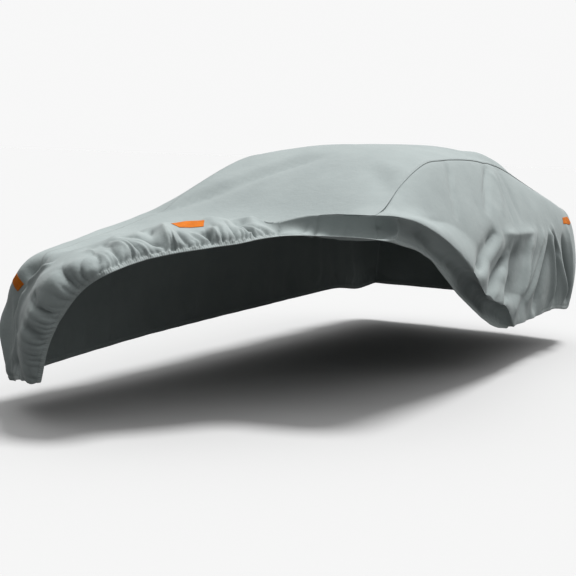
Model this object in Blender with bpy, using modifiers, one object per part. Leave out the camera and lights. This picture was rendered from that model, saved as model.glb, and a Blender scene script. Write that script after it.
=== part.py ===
"""Car cover: a fitted fabric cover as it hangs in use, its near front corner drawn back.

Metres, +Z up, X to the near side, Y from the nose of the cover to its tail.  The sizes below are
measured from the floor and from the nose; the origin is at the mount under the crown.  Three
panels of cloth meet at two long seams, and three reflective patches are sewn on.
"""

import bmesh
import bpy
import numpy as np
from mathutils import Vector
from mathutils.kdtree import KDTree

# ---------------------------------------------------------------- driving dimensions
CLOTH = 0.0016  # thickness of every panel
SEAM_GAP = 0.0006  # between two panels along their seam
PATCH = 0.0010  # thickness of a reflective patch
PATCH_GAP = 0.0005  # between a patch and the panel that carries it

CROWN_CENTRE_Y = 3.00  # where the mount is, from the nose
CROWN_UNDERSIDE = 1.5292  # its height over the floor

CROWN_POWER = 2.8  # how flat a cross-section of the top is before it turns down
BOW_POWER = 2.6  # how flat the nose and tail are in plan

CORNER_STEPS = 12  # rows of faces down the nose corner, the tail corner and the sides
HOOD_STEPS = 24  # along the hood panel, from the nose edge to where the near seam starts
BODY_STEPS = 54  # along the near seam, from there to the edge of the tail
BODY_GRADE = 1.5  # above 1, these steps grow finer towards the folds of the rear quarter
TOP_STEPS = 14  # across the top panel
ROLL_STEPS = 5  # across the rolled hem

# Centre line and seam line from the nose hem over the top to the tail hem.
# centre y, centre z, seam x, seam y, seam z
STATIONS = (
    (0.10, 0.20, 0.885, 0.320, 0.155),  # nose hem
    (0.03, 0.36, 0.880, 0.310, 0.360),
    (0.00, 0.52, 0.850, 0.300, 0.550),
    (0.03, 0.68, 0.745, 0.260, 0.700),
    (0.15, 0.81, 0.690, 0.300, 0.852),  # edge of the hood panel
    (0.40, 0.885, 0.690, 0.520, 0.895),
    (0.80, 0.955, 0.730, 0.850, 0.940),
    (1.20, 1.015, 0.750, 1.200, 1.000),
    (1.50, 1.090, 0.718, 1.480, 1.086),  # foot of the front slope
    (1.90, 1.295, 0.668, 1.880, 1.273),
    (2.30, 1.455, 0.640, 2.300, 1.408),
    (2.65, 1.515, 0.626, 2.650, 1.438),
    (3.00, 1.530, 0.624, 3.000, 1.447),  # crown
    (3.35, 1.539, 0.628, 3.350, 1.437),
    (3.70, 1.533, 0.640, 3.700, 1.402),
    (4.10, 1.423, 0.690, 4.100, 1.306),
    (4.45, 1.262, 0.760, 4.420, 1.200),
    (4.75, 1.152, 0.795, 4.700, 1.122),
    (4.98, 1.090, 0.825, 4.930, 1.050),  # edge of the tail
    (5.10, 0.950, 0.850, 5.030, 0.930),
    (5.14, 0.720, 0.875, 5.060, 0.720),
    (5.12, 0.500, 0.880, 5.050, 0.500),
    (5.06, 0.320, 0.872, 5.010, 0.325),  # tail hem
)
NOSE_EDGE = 4
TAIL_EDGE = 18
TAIL_HEM = 22

# The side below the seam: shoulder, waist, skirt and hem, each x, y, z, at stations along the seam.
# station, shoulder xyz, waist xyz, skirt xyz, hem xyz
SIDES = (
    (4.6, 0.825, 0.315, 0.805, 1.000, 0.370, 0.590, 1.025, 0.350, 0.400, 0.940, 0.370, 0.155),
    (5.5, 0.865, 0.640, 0.870, 1.005, 0.640, 0.640, 1.020, 0.660, 0.420, 0.960, 0.720, 0.185),
    (8.0, 0.870, 1.480, 1.035, 0.945, 1.500, 0.850, 0.960, 1.500, 0.520, 0.940, 1.500, 0.240),
    (10.0, 0.800, 2.300, 1.200, 0.935, 2.300, 0.920, 0.960, 2.300, 0.560, 0.940, 2.300, 0.270),
    (12.0, 0.790, 3.000, 1.220, 0.935, 3.000, 0.930, 0.960, 3.000, 0.580, 0.940, 3.000, 0.290),
    (14.0, 0.800, 3.700, 1.200, 0.935, 3.700, 0.930, 0.960, 3.700, 0.600, 0.940, 3.700, 0.310),
    (16.0, 0.860, 4.420, 1.100, 0.940, 4.400, 0.900, 0.960, 4.380, 0.600, 0.935, 4.340, 0.325),
    (17.4, 0.890, 4.820, 1.000, 0.940, 4.870, 0.780, 0.955, 4.850, 0.540, 0.930, 4.760, 0.288),
)

# The free edge of the drawn-back corner, from the nose foot over the hood to the near side's foot.
# hem x, y, z, crest x, y, z, tuck of the valley between them, row of the side's form under the crest
FREE_EDGE = (
    (-0.500, 0.090, 0.210, -0.600, 0.090, 0.185, -0.010, 0.0),  # nose foot
    (-0.440, 0.070, 0.420, -0.570, 0.020, 0.420, -0.020, 0.0),
    (-0.344, 0.060, 0.587, -0.470, 0.000, 0.630, -0.020, 0.0),
    (-0.220, 0.070, 0.735, -0.360, 0.030, 0.800, -0.020, 0.0),
    (-0.090, 0.110, 0.825, -0.260, 0.140, 0.890, -0.020, 0.0),
    (-0.030, 0.360, 0.885, -0.230, 0.420, 0.975, -0.020, 0.0),
    (0.100, 0.550, 0.925, -0.150, 0.700, 1.044, -0.015, 0.0),
    (0.220, 0.750, 0.955, -0.020, 0.920, 1.074, -0.005, 0.0),
    (0.300, 0.890, 0.980, 0.120, 1.060, 1.078, 0.010, 0.0),
    (0.380, 1.000, 1.000, 0.280, 1.130, 1.068, 0.035, 0.0),
    (0.620, 1.060, 1.015, 0.540, 1.200, 1.121, 0.080, 0.0),
    (0.850, 1.150, 1.008, 0.800, 1.270, 1.128, 0.080, 0.0),  # the near seam crosses here
    (0.930, 1.310, 0.975, 0.950, 1.260, 1.124, 0.070, 0.55),
    (0.930, 1.674, 0.897, 1.000, 1.465, 1.080, 0.050, 1.20),
    (0.910, 2.030, 0.755, 1.010, 1.870, 0.958, 0.040, 1.70),
    (0.910, 2.380, 0.590, 1.015, 2.260, 0.779, 0.050, 2.40),
    (0.920, 2.750, 0.427, 1.005, 2.600, 0.580, 0.080, 2.95),
    (0.925, 3.000, 0.340, 1.000, 3.000, 0.480, 0.085, 3.30),
    (0.930, 3.240, 0.300, 0.965, 3.300, 0.310, 0.012, 4.0),  # foot of the near side
)
SEAM_ROW = 11
SETTLE = 0.45  # how far in from its crest the rolled hem lifts the cloth

# Folds, each along a straight run.
# from x, y, z, to x, y, z, half width, height (below 0 in a trough)
FOLDS = (
    # the front slope and the crown
    (-0.72, 1.42, 1.06, -0.05, 2.22, 1.43, 0.060, -0.016),
    (-0.66, 1.64, 1.17, -0.12, 2.34, 1.46, 0.060, 0.008),
    (0.36, 2.10, 1.38, 0.66, 1.80, 1.24, 0.070, -0.014),
    (0.44, 2.20, 1.42, 0.64, 2.04, 1.34, 0.060, 0.008),
    (0.50, 3.45, 1.49, 0.58, 4.05, 1.38, 0.080, 0.032),
    # the nose corner
    (-0.50, 0.16, 0.87, -0.74, 0.26, 0.69, 0.030, 0.014),
    (-0.64, 0.26, 0.86, -0.78, 0.28, 0.74, 0.060, -0.026),
    (-0.30, 0.02, 0.74, -0.56, 0.12, 0.78, 0.050, 0.016),
    (-0.36, 0.02, 0.64, -0.64, 0.16, 0.68, 0.045, -0.018),
    (-0.43, 0.02, 0.52, -0.74, 0.22, 0.58, 0.050, 0.016),
    (-0.46, 0.02, 0.42, -0.76, 0.22, 0.46, 0.045, -0.018),
    (-0.50, 0.03, 0.33, -0.80, 0.24, 0.35, 0.050, 0.014),
    (-0.86, 0.30, 0.68, -0.88, 0.31, 0.20, 0.035, 0.016),
    (-0.97, 0.38, 0.62, -0.93, 0.40, 0.24, 0.060, -0.022),
    # the hood panel, square to its hem
    (-0.16, 0.14, 0.87, -0.40, 0.34, 0.93, 0.050, -0.014),
    (-0.08, 0.24, 0.90, -0.34, 0.46, 0.97, 0.045, 0.014),
    (-0.02, 0.40, 0.93, -0.30, 0.60, 1.00, 0.045, -0.018),
    (0.04, 0.50, 0.95, -0.22, 0.74, 1.04, 0.045, 0.016),
    (0.10, 0.60, 0.97, -0.12, 0.84, 1.05, 0.040, -0.022),
    (0.16, 0.70, 0.98, -0.04, 0.94, 1.07, 0.045, 0.018),
    (0.22, 0.78, 1.00, 0.04, 1.02, 1.07, 0.040, -0.024),
    (0.30, 0.88, 1.01, 0.12, 1.10, 1.08, 0.045, 0.024),
    (0.36, 0.96, 1.02, 0.20, 1.14, 1.07, 0.035, -0.022),
    # the near side, from the front slope back
    (0.69, 2.62, 1.37, 0.86, 2.34, 1.10, 0.040, -0.010),
    (0.66, 3.42, 1.40, 0.86, 2.92, 1.12, 0.045, -0.020),
    (0.67, 3.52, 1.39, 0.88, 3.22, 1.10, 0.045, 0.012),
    (0.67, 3.64, 1.38, 0.90, 3.54, 1.04, 0.040, -0.010),
    (0.94, 3.15, 0.95, 0.94, 3.76, 0.94, 0.060, 0.012),
    (0.95, 3.20, 0.80, 0.95, 3.70, 0.79, 0.070, -0.012),
    (0.92, 2.90, 0.98, 1.00, 2.34, 0.77, 0.050, -0.034),
    (0.94, 3.02, 0.95, 1.00, 2.48, 0.70, 0.055, 0.022),
    (0.95, 3.18, 0.86, 1.00, 2.64, 0.59, 0.050, -0.034),
    (0.96, 3.14, 0.72, 0.99, 2.86, 0.52, 0.050, 0.022),
    (0.94, 3.78, 0.93, 0.97, 3.26, 0.44, 0.060, 0.028),
    (0.95, 3.90, 0.86, 0.96, 3.44, 0.40, 0.050, -0.024),
    (0.94, 4.03, 0.92, 0.96, 3.60, 0.46, 0.050, 0.026),
    (0.95, 4.02, 0.80, 0.95, 3.82, 0.38, 0.060, -0.028),
    (0.95, 4.11, 0.92, 0.95, 4.27, 0.30, 0.035, 0.028),
    (0.95, 4.19, 0.90, 0.95, 4.42, 0.32, 0.045, -0.036),
    (0.94, 4.24, 0.98, 0.95, 4.60, 0.32, 0.040, 0.024),
    (0.95, 4.48, 0.88, 0.95, 4.68, 0.36, 0.045, -0.030),
    (0.93, 4.62, 0.96, 0.95, 4.78, 0.38, 0.045, 0.016),
    # the far side
    (-0.90, 1.00, 0.92, -0.98, 0.84, 0.24, 0.090, 0.018),
    (-0.92, 1.30, 0.96, -0.96, 1.22, 0.26, 0.080, -0.020),
    (-0.90, 1.72, 1.04, -0.96, 1.66, 0.26, 0.090, 0.018),
    (-0.84, 2.30, 1.16, -0.96, 2.16, 0.28, 0.080, -0.020),
    (-0.84, 2.74, 1.18, -0.96, 2.60, 0.28, 0.100, 0.020),
    (-0.84, 3.20, 1.18, -0.96, 3.10, 0.30, 0.080, -0.022),
    (-0.86, 3.60, 1.16, -0.96, 3.56, 0.30, 0.080, 0.022),
    (-0.88, 3.96, 1.08, -0.96, 4.04, 0.32, 0.070, -0.028),
    (-0.90, 4.24, 1.02, -0.96, 4.40, 0.32, 0.070, 0.026),
    (-0.92, 4.50, 0.98, -0.95, 4.72, 0.34, 0.060, -0.026),
    # the tail
    (-0.62, 5.02, 0.92, -0.60, 5.12, 0.36, 0.080, -0.020),
    (-0.30, 5.08, 0.90, -0.24, 5.14, 0.36, 0.090, 0.018),
    (0.06, 5.10, 0.88, 0.02, 5.14, 0.36, 0.080, -0.018),
    (0.34, 5.08, 0.90, 0.42, 5.12, 0.36, 0.090, 0.020),
    (0.66, 5.02, 0.92, 0.70, 5.08, 0.36, 0.070, -0.022),
)

# Gathers that the elastic draws up along the hems, and those beside the drawn-back corner
HEM_GATHER = 0.010  # height of a gather at the side and tail hems
HEM_GATHER_TOP = 0.52  # height over the floor where they end
HEM_PITCH = 0.24  # from one gather to the next
EDGE_GATHER = 0.012  # height of a gather beside the free edge of the nose and hood
EDGE_REACH = 0.30  # how far in from that edge they end
EDGE_PITCH = 1.15  # rows of FREE_EDGE from one gather to the next

# Corners of the reflective patches, each x, y, z, in order round the patch
HOOD_PATCH = (
    (-0.140, 0.700, 1.045),
    (-0.105, 0.790, 1.062),
    (-0.030, 0.860, 1.066),
    (0.010, 0.790, 1.040),
    (-0.070, 0.680, 1.026),
)
NOSE_PATCH = (
    (-0.850, 0.300, 0.750),
    (-0.780, 0.270, 0.700),
    (-0.840, 0.280, 0.655),
    (-0.905, 0.310, 0.710),
)
TAIL_PATCH = (
    (0.890, 4.600, 1.020),
    (0.885, 4.790, 1.025),
    (0.895, 4.850, 0.975),
    (0.905, 4.770, 0.960),
    (0.910, 4.570, 0.975),
)
PATCH_DEPTH = 0.035  # how far in front of or behind its middle a patch may curve


# ---------------------------------------------------------------- curves
def smooth_row(rows, at):
    """Rows of a table read as one smooth curve: at=2.5 lies halfway from row 2 to row 3."""
    rows = np.asarray(rows, float)
    at = np.clip(np.asarray(at, float), 0.0, len(rows) - 1.0)
    low = np.minimum(at.astype(int), len(rows) - 2)
    part = (at - low)[..., None]
    here = rows[low]
    after = rows[low + 1]
    first = (low == 0)[..., None]
    last = (low == len(rows) - 2)[..., None]
    before = np.where(first, 2 * here - after, rows[np.maximum(low - 1, 0)])
    beyond = np.where(last, 2 * after - here, rows[np.minimum(low + 2, len(rows) - 1)])
    slope = after - before
    bend = 2 * before - 5 * here + 4 * after - beyond
    twist = 3 * here - before - 3 * after + beyond
    return here + 0.5 * part * (slope + part * (bend + part * twist))


def ramp(value):
    """0 below 0, 1 above 1 and a soft step between."""
    value = np.clip(value, 0.0, 1.0)
    return value * value * (3 - 2 * value)


def seam_point(station):
    return smooth_row(STATIONS, station)[..., 2:5]


def top_form(x, station):
    """The cloth of the top without its folds, at a distance x from the centre line."""
    row = smooth_row(STATIONS, station)
    reach = np.abs(x) / row[..., 2]
    y = row[..., 0] + (row[..., 3] - row[..., 0]) * reach**BOW_POWER
    z = row[..., 1] + (row[..., 4] - row[..., 1]) * reach**CROWN_POWER
    return np.stack([np.broadcast_to(x, y.shape), y, z], axis=-1)


def nearest_station(point):
    """The station whose cross-section of the top passes nearest to a point."""
    tries = np.linspace(0.0, 13.0, 2601)
    gaps = top_form(np.full(tries.shape, point[0]), tries) - point
    return tries[np.argmin((gaps**2).sum(axis=1))]


SIDE_ROWS = len(SIDES[0][1:]) // 3  # shoulder, waist, skirt and hem
SEAM_STATION = nearest_station(FREE_EDGE[SEAM_ROW][3:6])  # where the near seam starts
SEAM_LIFT = np.array(FREE_EDGE[SEAM_ROW][3:6]) - seam_point(SEAM_STATION)
SEAM_SETTLE = 1.6  # stations over which the near seam comes down to the body
SEAM_WALK = np.linspace(6.0, 16.0, 401)  # stations at which the side's seam is looked up by its y


def near_seam(station):
    """The near seam: it is lifted where it leaves the rolled hem."""
    along = np.clip((station - SEAM_STATION) / SEAM_SETTLE, 0.0, 1.0)
    return seam_point(station) + SEAM_LIFT * (1 - ramp(along))[..., None]


def side_table():
    """The rows of SIDES with the two corner seams added, so that the side meets them."""
    nose = np.concatenate([seam_point(NOSE_EDGE - 1.0 - row) for row in range(SIDE_ROWS)])
    tail = np.concatenate([seam_point(TAIL_EDGE + 1.0 + row) for row in range(SIDE_ROWS)])
    middle = np.array(SIDES)
    stations = np.concatenate([[NOSE_EDGE], middle[:, 0], [TAIL_EDGE]])
    return stations, np.vstack([nose, middle[:, 1:], tail])


SIDE_STATIONS, SIDE_TABLE = side_table()


def side_form(station, row):
    """The cloth of a side without its folds: row 0 is the seam and the last row is the hem."""
    at = np.interp(station, SIDE_STATIONS, np.arange(len(SIDE_STATIONS)))
    below = smooth_row(SIDE_TABLE, at).reshape(at.shape + (SIDE_ROWS, 3))
    seam = seam_point(station)
    inner = top_form(0.72 * seam[..., 0], station)
    nose_seam = ramp((station - NOSE_EDGE) / 0.7)[..., None]
    tail_seam = ramp((TAIL_EDGE - station) / 0.7)[..., None]
    inner = seam_point(NOSE_EDGE + 1.0) * (1 - nose_seam) + inner * nose_seam
    inner = seam_point(TAIL_EDGE - 1.0) * (1 - tail_seam) + inner * tail_seam
    beyond = 2 * below[..., -1, :] - below[..., -2, :]
    line = np.concatenate(
        [inner[..., None, :], seam[..., None, :], below, beyond[..., None, :]], axis=-2
    )
    low = np.minimum(row.astype(int), SIDE_ROWS - 1)
    part = (row - low)[..., None]
    before, here, after, next_one = (
        np.take_along_axis(line, (low + step)[..., None, None], axis=-2)[..., 0, :]
        for step in range(4)
    )
    slope = after - before
    bend = 2 * before - 5 * here + 4 * after - next_one
    twist = 3 * here - before - 3 * after + next_one
    return here + 0.5 * part * (slope + part * (bend + part * twist))


def edge_rows(at):
    """Hem point, crest point and tuck of the free edge."""
    row = smooth_row(FREE_EDGE, at)
    return row[..., 0:3], row[..., 3:6], row[..., 6]


def rolled(at, steps):
    """Points across the rolled hem, from its crest to the hem, for each place on the free edge."""
    hem, crest, tuck = edge_rows(at)
    ahead = edge_rows(at + 0.2)[1] - edge_rows(at - 0.2)[1]
    across = hem - crest
    inward = np.cross(ahead, across)
    inward /= np.linalg.norm(inward, axis=-1, keepdims=True)
    part = np.arange(1, steps + 1) / steps
    hollow = np.sin(np.pi * part**0.85)
    return (
        crest[:, None]
        + across[:, None] * part[None, :, None]
        + inward[:, None] * (tuck[:, None] * hollow[None])[..., None]
    )


# ---------------------------------------------------------------- folds and gathers
def outward(points):
    """Directions from the middle of the body out through the cloth, level on its lower half."""
    middle = np.zeros_like(points)
    middle[..., 1] = np.clip(points[..., 1], 0.75, 4.35)
    middle[..., 2] = np.minimum(points[..., 2], 0.62)
    away = points - middle
    return away / np.linalg.norm(away, axis=-1, keepdims=True)


def fold_height(points):
    """How far the folds and the gathers of the side and tail hems lift the cloth at each point."""
    height = np.zeros(points.shape[:-1])
    for x0, y0, z0, x1, y1, z1, half_width, lift in FOLDS:
        start = np.array((x0, y0, z0))
        run = np.array((x1, y1, z1)) - start
        length = np.linalg.norm(run)
        along = ((points - start) @ run) / length**2
        foot = start + np.clip(along, 0.0, 1.0)[..., None] * run
        beside = np.linalg.norm(points - foot, axis=-1)
        ends = ramp((along + 0.25) / 0.5) * ramp((1.25 - along) / 0.5)
        height += lift * ends * np.exp(-((beside / half_width) ** 2))
    round_hem = points[..., 1] + points[..., 0] * 0.9
    wave = np.sin(2 * np.pi * round_hem / HEM_PITCH + 1.1 * np.sin(round_hem * 5.1))
    low = ramp((HEM_GATHER_TOP - points[..., 2]) / (HEM_GATHER_TOP - 0.26))
    return height + HEM_GATHER * low * wave


def folded(points):
    return points + outward(points) * fold_height(points)[..., None]


def edge_gathers(points, edge, from_edge, from_seam):
    """The same points drawn up in gathers beside the free edge of the nose and hood."""
    wave = np.sin(2 * np.pi * edge / EDGE_PITCH + 0.9 * np.sin(edge * 2.1))
    calm = 1 - ramp((edge - 8.0) / 1.5)
    rise = ramp(from_edge / 0.05) * (1 - ramp(from_edge / EDGE_REACH)) * ramp(from_seam / 0.15)
    return points + outward(points) * (EDGE_GATHER * (wave * calm)[:, None] * rise)[..., None]


# ---------------------------------------------------------------- panels
def body_stations():
    """Stations of the lines of points from the start of the near seam to the edge of the tail."""
    part = 1 - (1 - np.linspace(0.0, 1.0, BODY_STEPS + 1)) ** BODY_GRADE
    return SEAM_STATION + (TAIL_EDGE - SEAM_STATION) * part


def top_grid():
    """Rows of points for the top panel: the main part, and the rolled hem on its first rows."""
    nose = np.linspace(0.0, NOSE_EDGE, CORNER_STEPS + 1)
    hood = np.linspace(NOSE_EDGE, SEAM_STATION, HOOD_STEPS + 1)[1:]
    body = body_stations()[1:]
    tail = np.linspace(TAIL_EDGE, TAIL_HEM, CORNER_STEPS + 1)[1:]
    far = np.concatenate([nose, hood, body, tail])
    edge = np.concatenate(
        [np.linspace(0.0, 4.2, CORNER_STEPS + 1), np.linspace(4.2, SEAM_ROW, HOOD_STEPS + 1)[1:]]
    )
    crest = edge_rows(edge)[1]
    near_station = np.array([nearest_station(point) for point in crest])
    near_station = np.concatenate([near_station, body, tail])
    near = np.concatenate([crest, near_seam(np.concatenate([body, tail]))])
    part = np.linspace(0.0, 1.0, TOP_STEPS + 1)[None]
    far_x = -seam_point(far)[:, :1]
    x = far_x + (near[:, :1] - far_x) * part
    station = far[:, None] + (near_station - far)[:, None] * ramp(part)
    form = top_form(x, station)
    lift = near - form[:, -1]
    width = np.linalg.norm(form[:, -1] - form[:, 0], axis=1)[:, None]
    settle = 1 - ramp((1 - part) * width / np.minimum(width, SETTLE))
    main = form + lift[:, None] * settle[..., None]
    roll = np.concatenate([crest[:, None], rolled(edge, ROLL_STEPS)], axis=1)
    fore = main[: len(edge)].copy()
    from_hem = np.linalg.norm(roll - roll[:, -1:], axis=-1)
    from_crest = np.linalg.norm(fore - crest[:, None], axis=-1)
    from_seam = np.linalg.norm(fore - fore[:, :1], axis=-1)
    main[: len(edge)] = edge_gathers(fore, edge, from_crest + from_hem[:, :1], from_seam)
    roll = edge_gathers(roll, edge, from_hem, from_seam[:, -1:])
    return folded(main), folded(roll)


def far_grid():
    """Rows of points for the far side panel, from its seam down."""
    station = np.concatenate(
        [
            np.linspace(NOSE_EDGE, SEAM_STATION, HOOD_STEPS + 1),
            body_stations()[1:],
        ]
    )
    row = np.linspace(0.0, SIDE_ROWS, CORNER_STEPS + 1)
    station, row = np.meshgrid(station, row, indexing="ij")
    return folded(side_form(station, row) * (-1, 1, 1))


def near_grid():
    """Rows of points for the near side panel: rolled hem, then the main part to the tail corner."""
    edge = np.linspace(SEAM_ROW, len(FREE_EDGE) - 1.0, CORNER_STEPS + 1)
    crest = edge_rows(edge)[1]
    along = (body_stations()[:, None] - SEAM_STATION) / (TAIL_EDGE - SEAM_STATION)
    first_station = np.interp(crest[:, 1], seam_point(SEAM_WALK)[:, 1], SEAM_WALK)
    first_station[0] = SEAM_STATION
    first_row = smooth_row(FREE_EDGE, edge)[:, 7]
    last_row = np.linspace(0.0, SIDE_ROWS, CORNER_STEPS + 1)
    station = first_station * (1 - along) + TAIL_EDGE * along
    row = np.clip(first_row * (1 - along) + last_row * along, 0.0, SIDE_ROWS)
    form = side_form(station, row)
    seam_lift = near_seam(station[:, 0]) - form[:, 0]
    edge_lift = crest - form[0]
    from_edge = 1 - ramp(np.linalg.norm(form - form[:1], axis=-1) / SETTLE)[..., None]
    from_seam = 1 - ramp(np.linalg.norm(form - form[:, :1], axis=-1) / SETTLE)[..., None]
    lift = (
        seam_lift[:, None] * from_seam
        + edge_lift[None] * from_edge
        - SEAM_LIFT * from_edge * from_seam
    )
    roll = rolled(edge, ROLL_STEPS).transpose(1, 0, 2)
    return folded(np.concatenate([roll[::-1], form + lift]))


# ---------------------------------------------------------------- objects
def finish(name, colour, roughness):
    material = bpy.data.materials.new(name)
    material.use_nodes = True
    shader = material.node_tree.nodes["Principled BSDF"]
    shader.inputs["Base Color"].default_value = (*colour, 1.0)
    shader.inputs["Roughness"].default_value = roughness
    shader.inputs["Metallic"].default_value = 0.0
    return material


def add_grid(work, points):
    """A grid of faces on the given rows of points, added to a bmesh."""
    rows, columns = points.shape[:2]
    made = bmesh.ops.create_grid(
        work, x_segments=rows - 1, y_segments=columns - 1, size=1.0
    )
    for vertex in made["verts"]:
        row = round((vertex.co.x + 1) / 2 * (rows - 1))
        column = round((vertex.co.y + 1) / 2 * (columns - 1))
        vertex.co = points[row, column]


def cloth_surface(grids):
    """An open surface from one or more grids that share an edge, facing out."""
    work = bmesh.new()
    for points in grids:
        add_grid(work, points)
    bmesh.ops.remove_doubles(work, verts=work.verts, dist=0.00001)
    bmesh.ops.recalc_face_normals(work, faces=work.faces)
    out = outward(np.array([face.calc_center_median() for face in work.faces]))
    facing = np.array([face.normal for face in work.faces])
    if (out * facing).sum() < 0:
        bmesh.ops.reverse_faces(work, faces=work.faces)
    return work


def way_in(vertex):
    """The direction from the edge of a surface into it."""
    inner = [edge for edge in vertex.link_edges if not edge.is_boundary]
    steps = [edge.other_vert(vertex).co - vertex.co for edge in inner or vertex.link_edges]
    return sum((step.normalized() for step in steps), Vector()).normalized()


def part_seams(surfaces):
    """Draws the edges of the panels in where two of them meet, more where they meet at a bend."""
    borders = [
        [(vertex, way_in(vertex)) for vertex in work.verts if vertex.is_boundary]
        for work in surfaces
    ]
    moves = []
    for border in borders:
        for other in borders:
            if other is border:
                continue
            tree = KDTree(len(other))
            for index, (vertex, _) in enumerate(other):
                tree.insert(vertex.co, index)
            tree.balance()
            for vertex, inward in border:
                _, index, distance = tree.find(vertex.co)
                if distance > 0.00002:
                    continue
                level = max(-0.6, min(1.0, -inward.dot(other[index][1])))
                bend = ((1 - level) / (1 + level)) ** 0.5
                moves.append((vertex, inward * (SEAM_GAP / 2 + CLOTH / 2 * bend)))
    for vertex, move in moves:
        vertex.co += move


def saved(work, name):
    bmesh.ops.triangulate(work, faces=work.faces)
    mesh = bpy.data.meshes.new(name)
    work.to_mesh(mesh)
    work.free()
    return mesh


def add_sheet(name, mesh, thickness, material, parent, collection):
    sheet = bpy.data.objects.new(name, mesh)
    collection.objects.link(sheet)
    mesh.materials.append(material)
    mesh.shade_smooth()
    wall = sheet.modifiers.new("thickness", "SOLIDIFY")
    wall.thickness = thickness
    wall.offset = 0.0
    wall.use_rim = True
    sheet.parent = parent
    return sheet


def joined_to(first):
    """Every face that is joined to the first one."""
    found = {first}
    waiting = [first]
    while waiting:
        for edge in waiting.pop().edges:
            for face in edge.link_faces:
                if face not in found:
                    found.add(face)
                    waiting.append(face)
    return found


def patch_surface(panel, corners):
    """A piece cut from a copy of the panel's surface along straight edges and laid on its face."""
    work = bmesh.new()
    work.from_mesh(panel)
    corners = np.array(corners)
    centre = corners.mean(axis=0)
    following = np.roll(corners, -1, axis=0)
    facing = np.cross(corners - centre, following - centre).sum(axis=0)
    facing /= np.linalg.norm(facing)
    cuts = [(corner, np.cross(run, facing)) for corner, run in zip(corners, following - corners)]
    cuts += [(centre + PATCH_DEPTH * facing, facing), (centre - PATCH_DEPTH * facing, facing)]
    for corner, side in cuts:
        bmesh.ops.bisect_plane(
            work,
            geom=work.verts[:] + work.edges[:] + work.faces[:],
            dist=0.0001,
            plane_co=corner,
            plane_no=side * np.sign(np.dot(side, corner - centre)),
            clear_outer=True,
        )
    middle = Vector(centre)
    nearest = min(work.faces, key=lambda face: (face.calc_center_median() - middle).length)
    kept = joined_to(nearest)
    spare = [face for face in work.faces if face not in kept]
    bmesh.ops.delete(work, geom=spare, context="FACES")
    bmesh.ops.dissolve_degenerate(work, edges=work.edges, dist=0.0001)
    work.normal_update()
    rise = CLOTH / 2 + PATCH_GAP + PATCH / 2
    moves = [(vertex, vertex.normal.copy()) for vertex in work.verts]
    for vertex, normal in moves:
        vertex.co += normal * rise
    return work


def main():
    for thing in list(bpy.data.objects):
        bpy.data.objects.remove(thing, do_unlink=True)
    collection = bpy.data.collections.new("car_cover")
    bpy.context.scene.collection.children.link(collection)
    origin = bpy.data.objects.new("crown_mount", None)
    collection.objects.link(origin)
    origin.location = (0.0, -CROWN_CENTRE_Y, -CROWN_UNDERSIDE)

    cloth = finish("grey_cloth", (0.30, 0.34, 0.345), 0.8)
    orange = finish("orange_reflector", (0.80, 0.22, 0.03), 0.45)

    surfaces = {
        "top_panel": cloth_surface(top_grid()),
        "near_side_panel": cloth_surface([near_grid()]),
        "far_side_panel": cloth_surface([far_grid()]),
    }
    part_seams(list(surfaces.values()))
    panels = {name: saved(work, name) for name, work in surfaces.items()}
    for name, mesh in panels.items():
        add_sheet(name, mesh, CLOTH, cloth, origin, collection)
    patches = (
        ("hood_patch", "top_panel", HOOD_PATCH),
        ("nose_patch", "far_side_panel", NOSE_PATCH),
        ("tail_patch", "near_side_panel", TAIL_PATCH),
    )
    for name, panel, corners in patches:
        mesh = saved(patch_surface(panels[panel], corners), name)
        add_sheet(name, mesh, PATCH, orange, origin, collection)


if __name__ == "__main__":
    main()
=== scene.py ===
"""Car cover: the looks of a fitted fabric cover whose near front corner is drawn back.

Sizes are in metres, measured from the floor and from the nose of the cover: X to the near side,
Y from the nose to the tail, +Z up.  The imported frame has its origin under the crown, so each
finished mesh is moved by ROW_ORIGIN.
"""

import logging
import math
from collections.abc import Iterable, Sequence
from dataclasses import dataclass, field
from enum import Enum

import bmesh
import bpy
import numpy as np
from mathutils import Matrix, Vector


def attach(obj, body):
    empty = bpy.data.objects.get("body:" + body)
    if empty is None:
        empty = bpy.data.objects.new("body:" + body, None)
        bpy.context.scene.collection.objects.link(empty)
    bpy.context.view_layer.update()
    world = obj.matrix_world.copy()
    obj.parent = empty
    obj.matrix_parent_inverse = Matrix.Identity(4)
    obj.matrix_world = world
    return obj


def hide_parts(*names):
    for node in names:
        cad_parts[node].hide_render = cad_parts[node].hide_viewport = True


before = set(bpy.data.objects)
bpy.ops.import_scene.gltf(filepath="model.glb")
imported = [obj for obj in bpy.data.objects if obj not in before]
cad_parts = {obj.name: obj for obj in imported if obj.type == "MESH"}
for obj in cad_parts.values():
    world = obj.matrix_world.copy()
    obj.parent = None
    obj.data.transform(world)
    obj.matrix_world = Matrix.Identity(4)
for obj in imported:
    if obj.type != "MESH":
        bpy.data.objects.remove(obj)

LOG = logging.getLogger("car_cover")
ROW_ORIGIN = np.array((0.0, 3.00, 1.5292))  # the mount under the crown, from floor and nose
EDGE_SHARE = 0.6  # of a narrow strip, for the close places beside its edges
FAR = np.array((-1, 1, 1))  # brings a point of the near side over to the far side
HEM_ROW = 4.0  # of the side's form, counted from its seam


class Slot(Enum):
    """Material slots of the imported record."""

    CLOTH = "grey_cloth"
    REFLECTOR = "orange_reflector"


class Lap(Enum):
    """Which way the edge of a panel lies at a sewn seam."""

    OVER = 1.0
    UNDER = -1.0


# ---------------------------------------------------------------- curves and noise
def ramp(value: np.ndarray) -> np.ndarray:
    """0 below 0, 1 above 1 and a soft step between."""
    value = np.clip(value, 0.0, 1.0)
    return value * value * (3 - 2 * value)


def unit(vectors: np.ndarray) -> np.ndarray:
    """Vectors brought to length 1."""
    return vectors / np.linalg.norm(vectors, axis=-1, keepdims=True)


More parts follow.
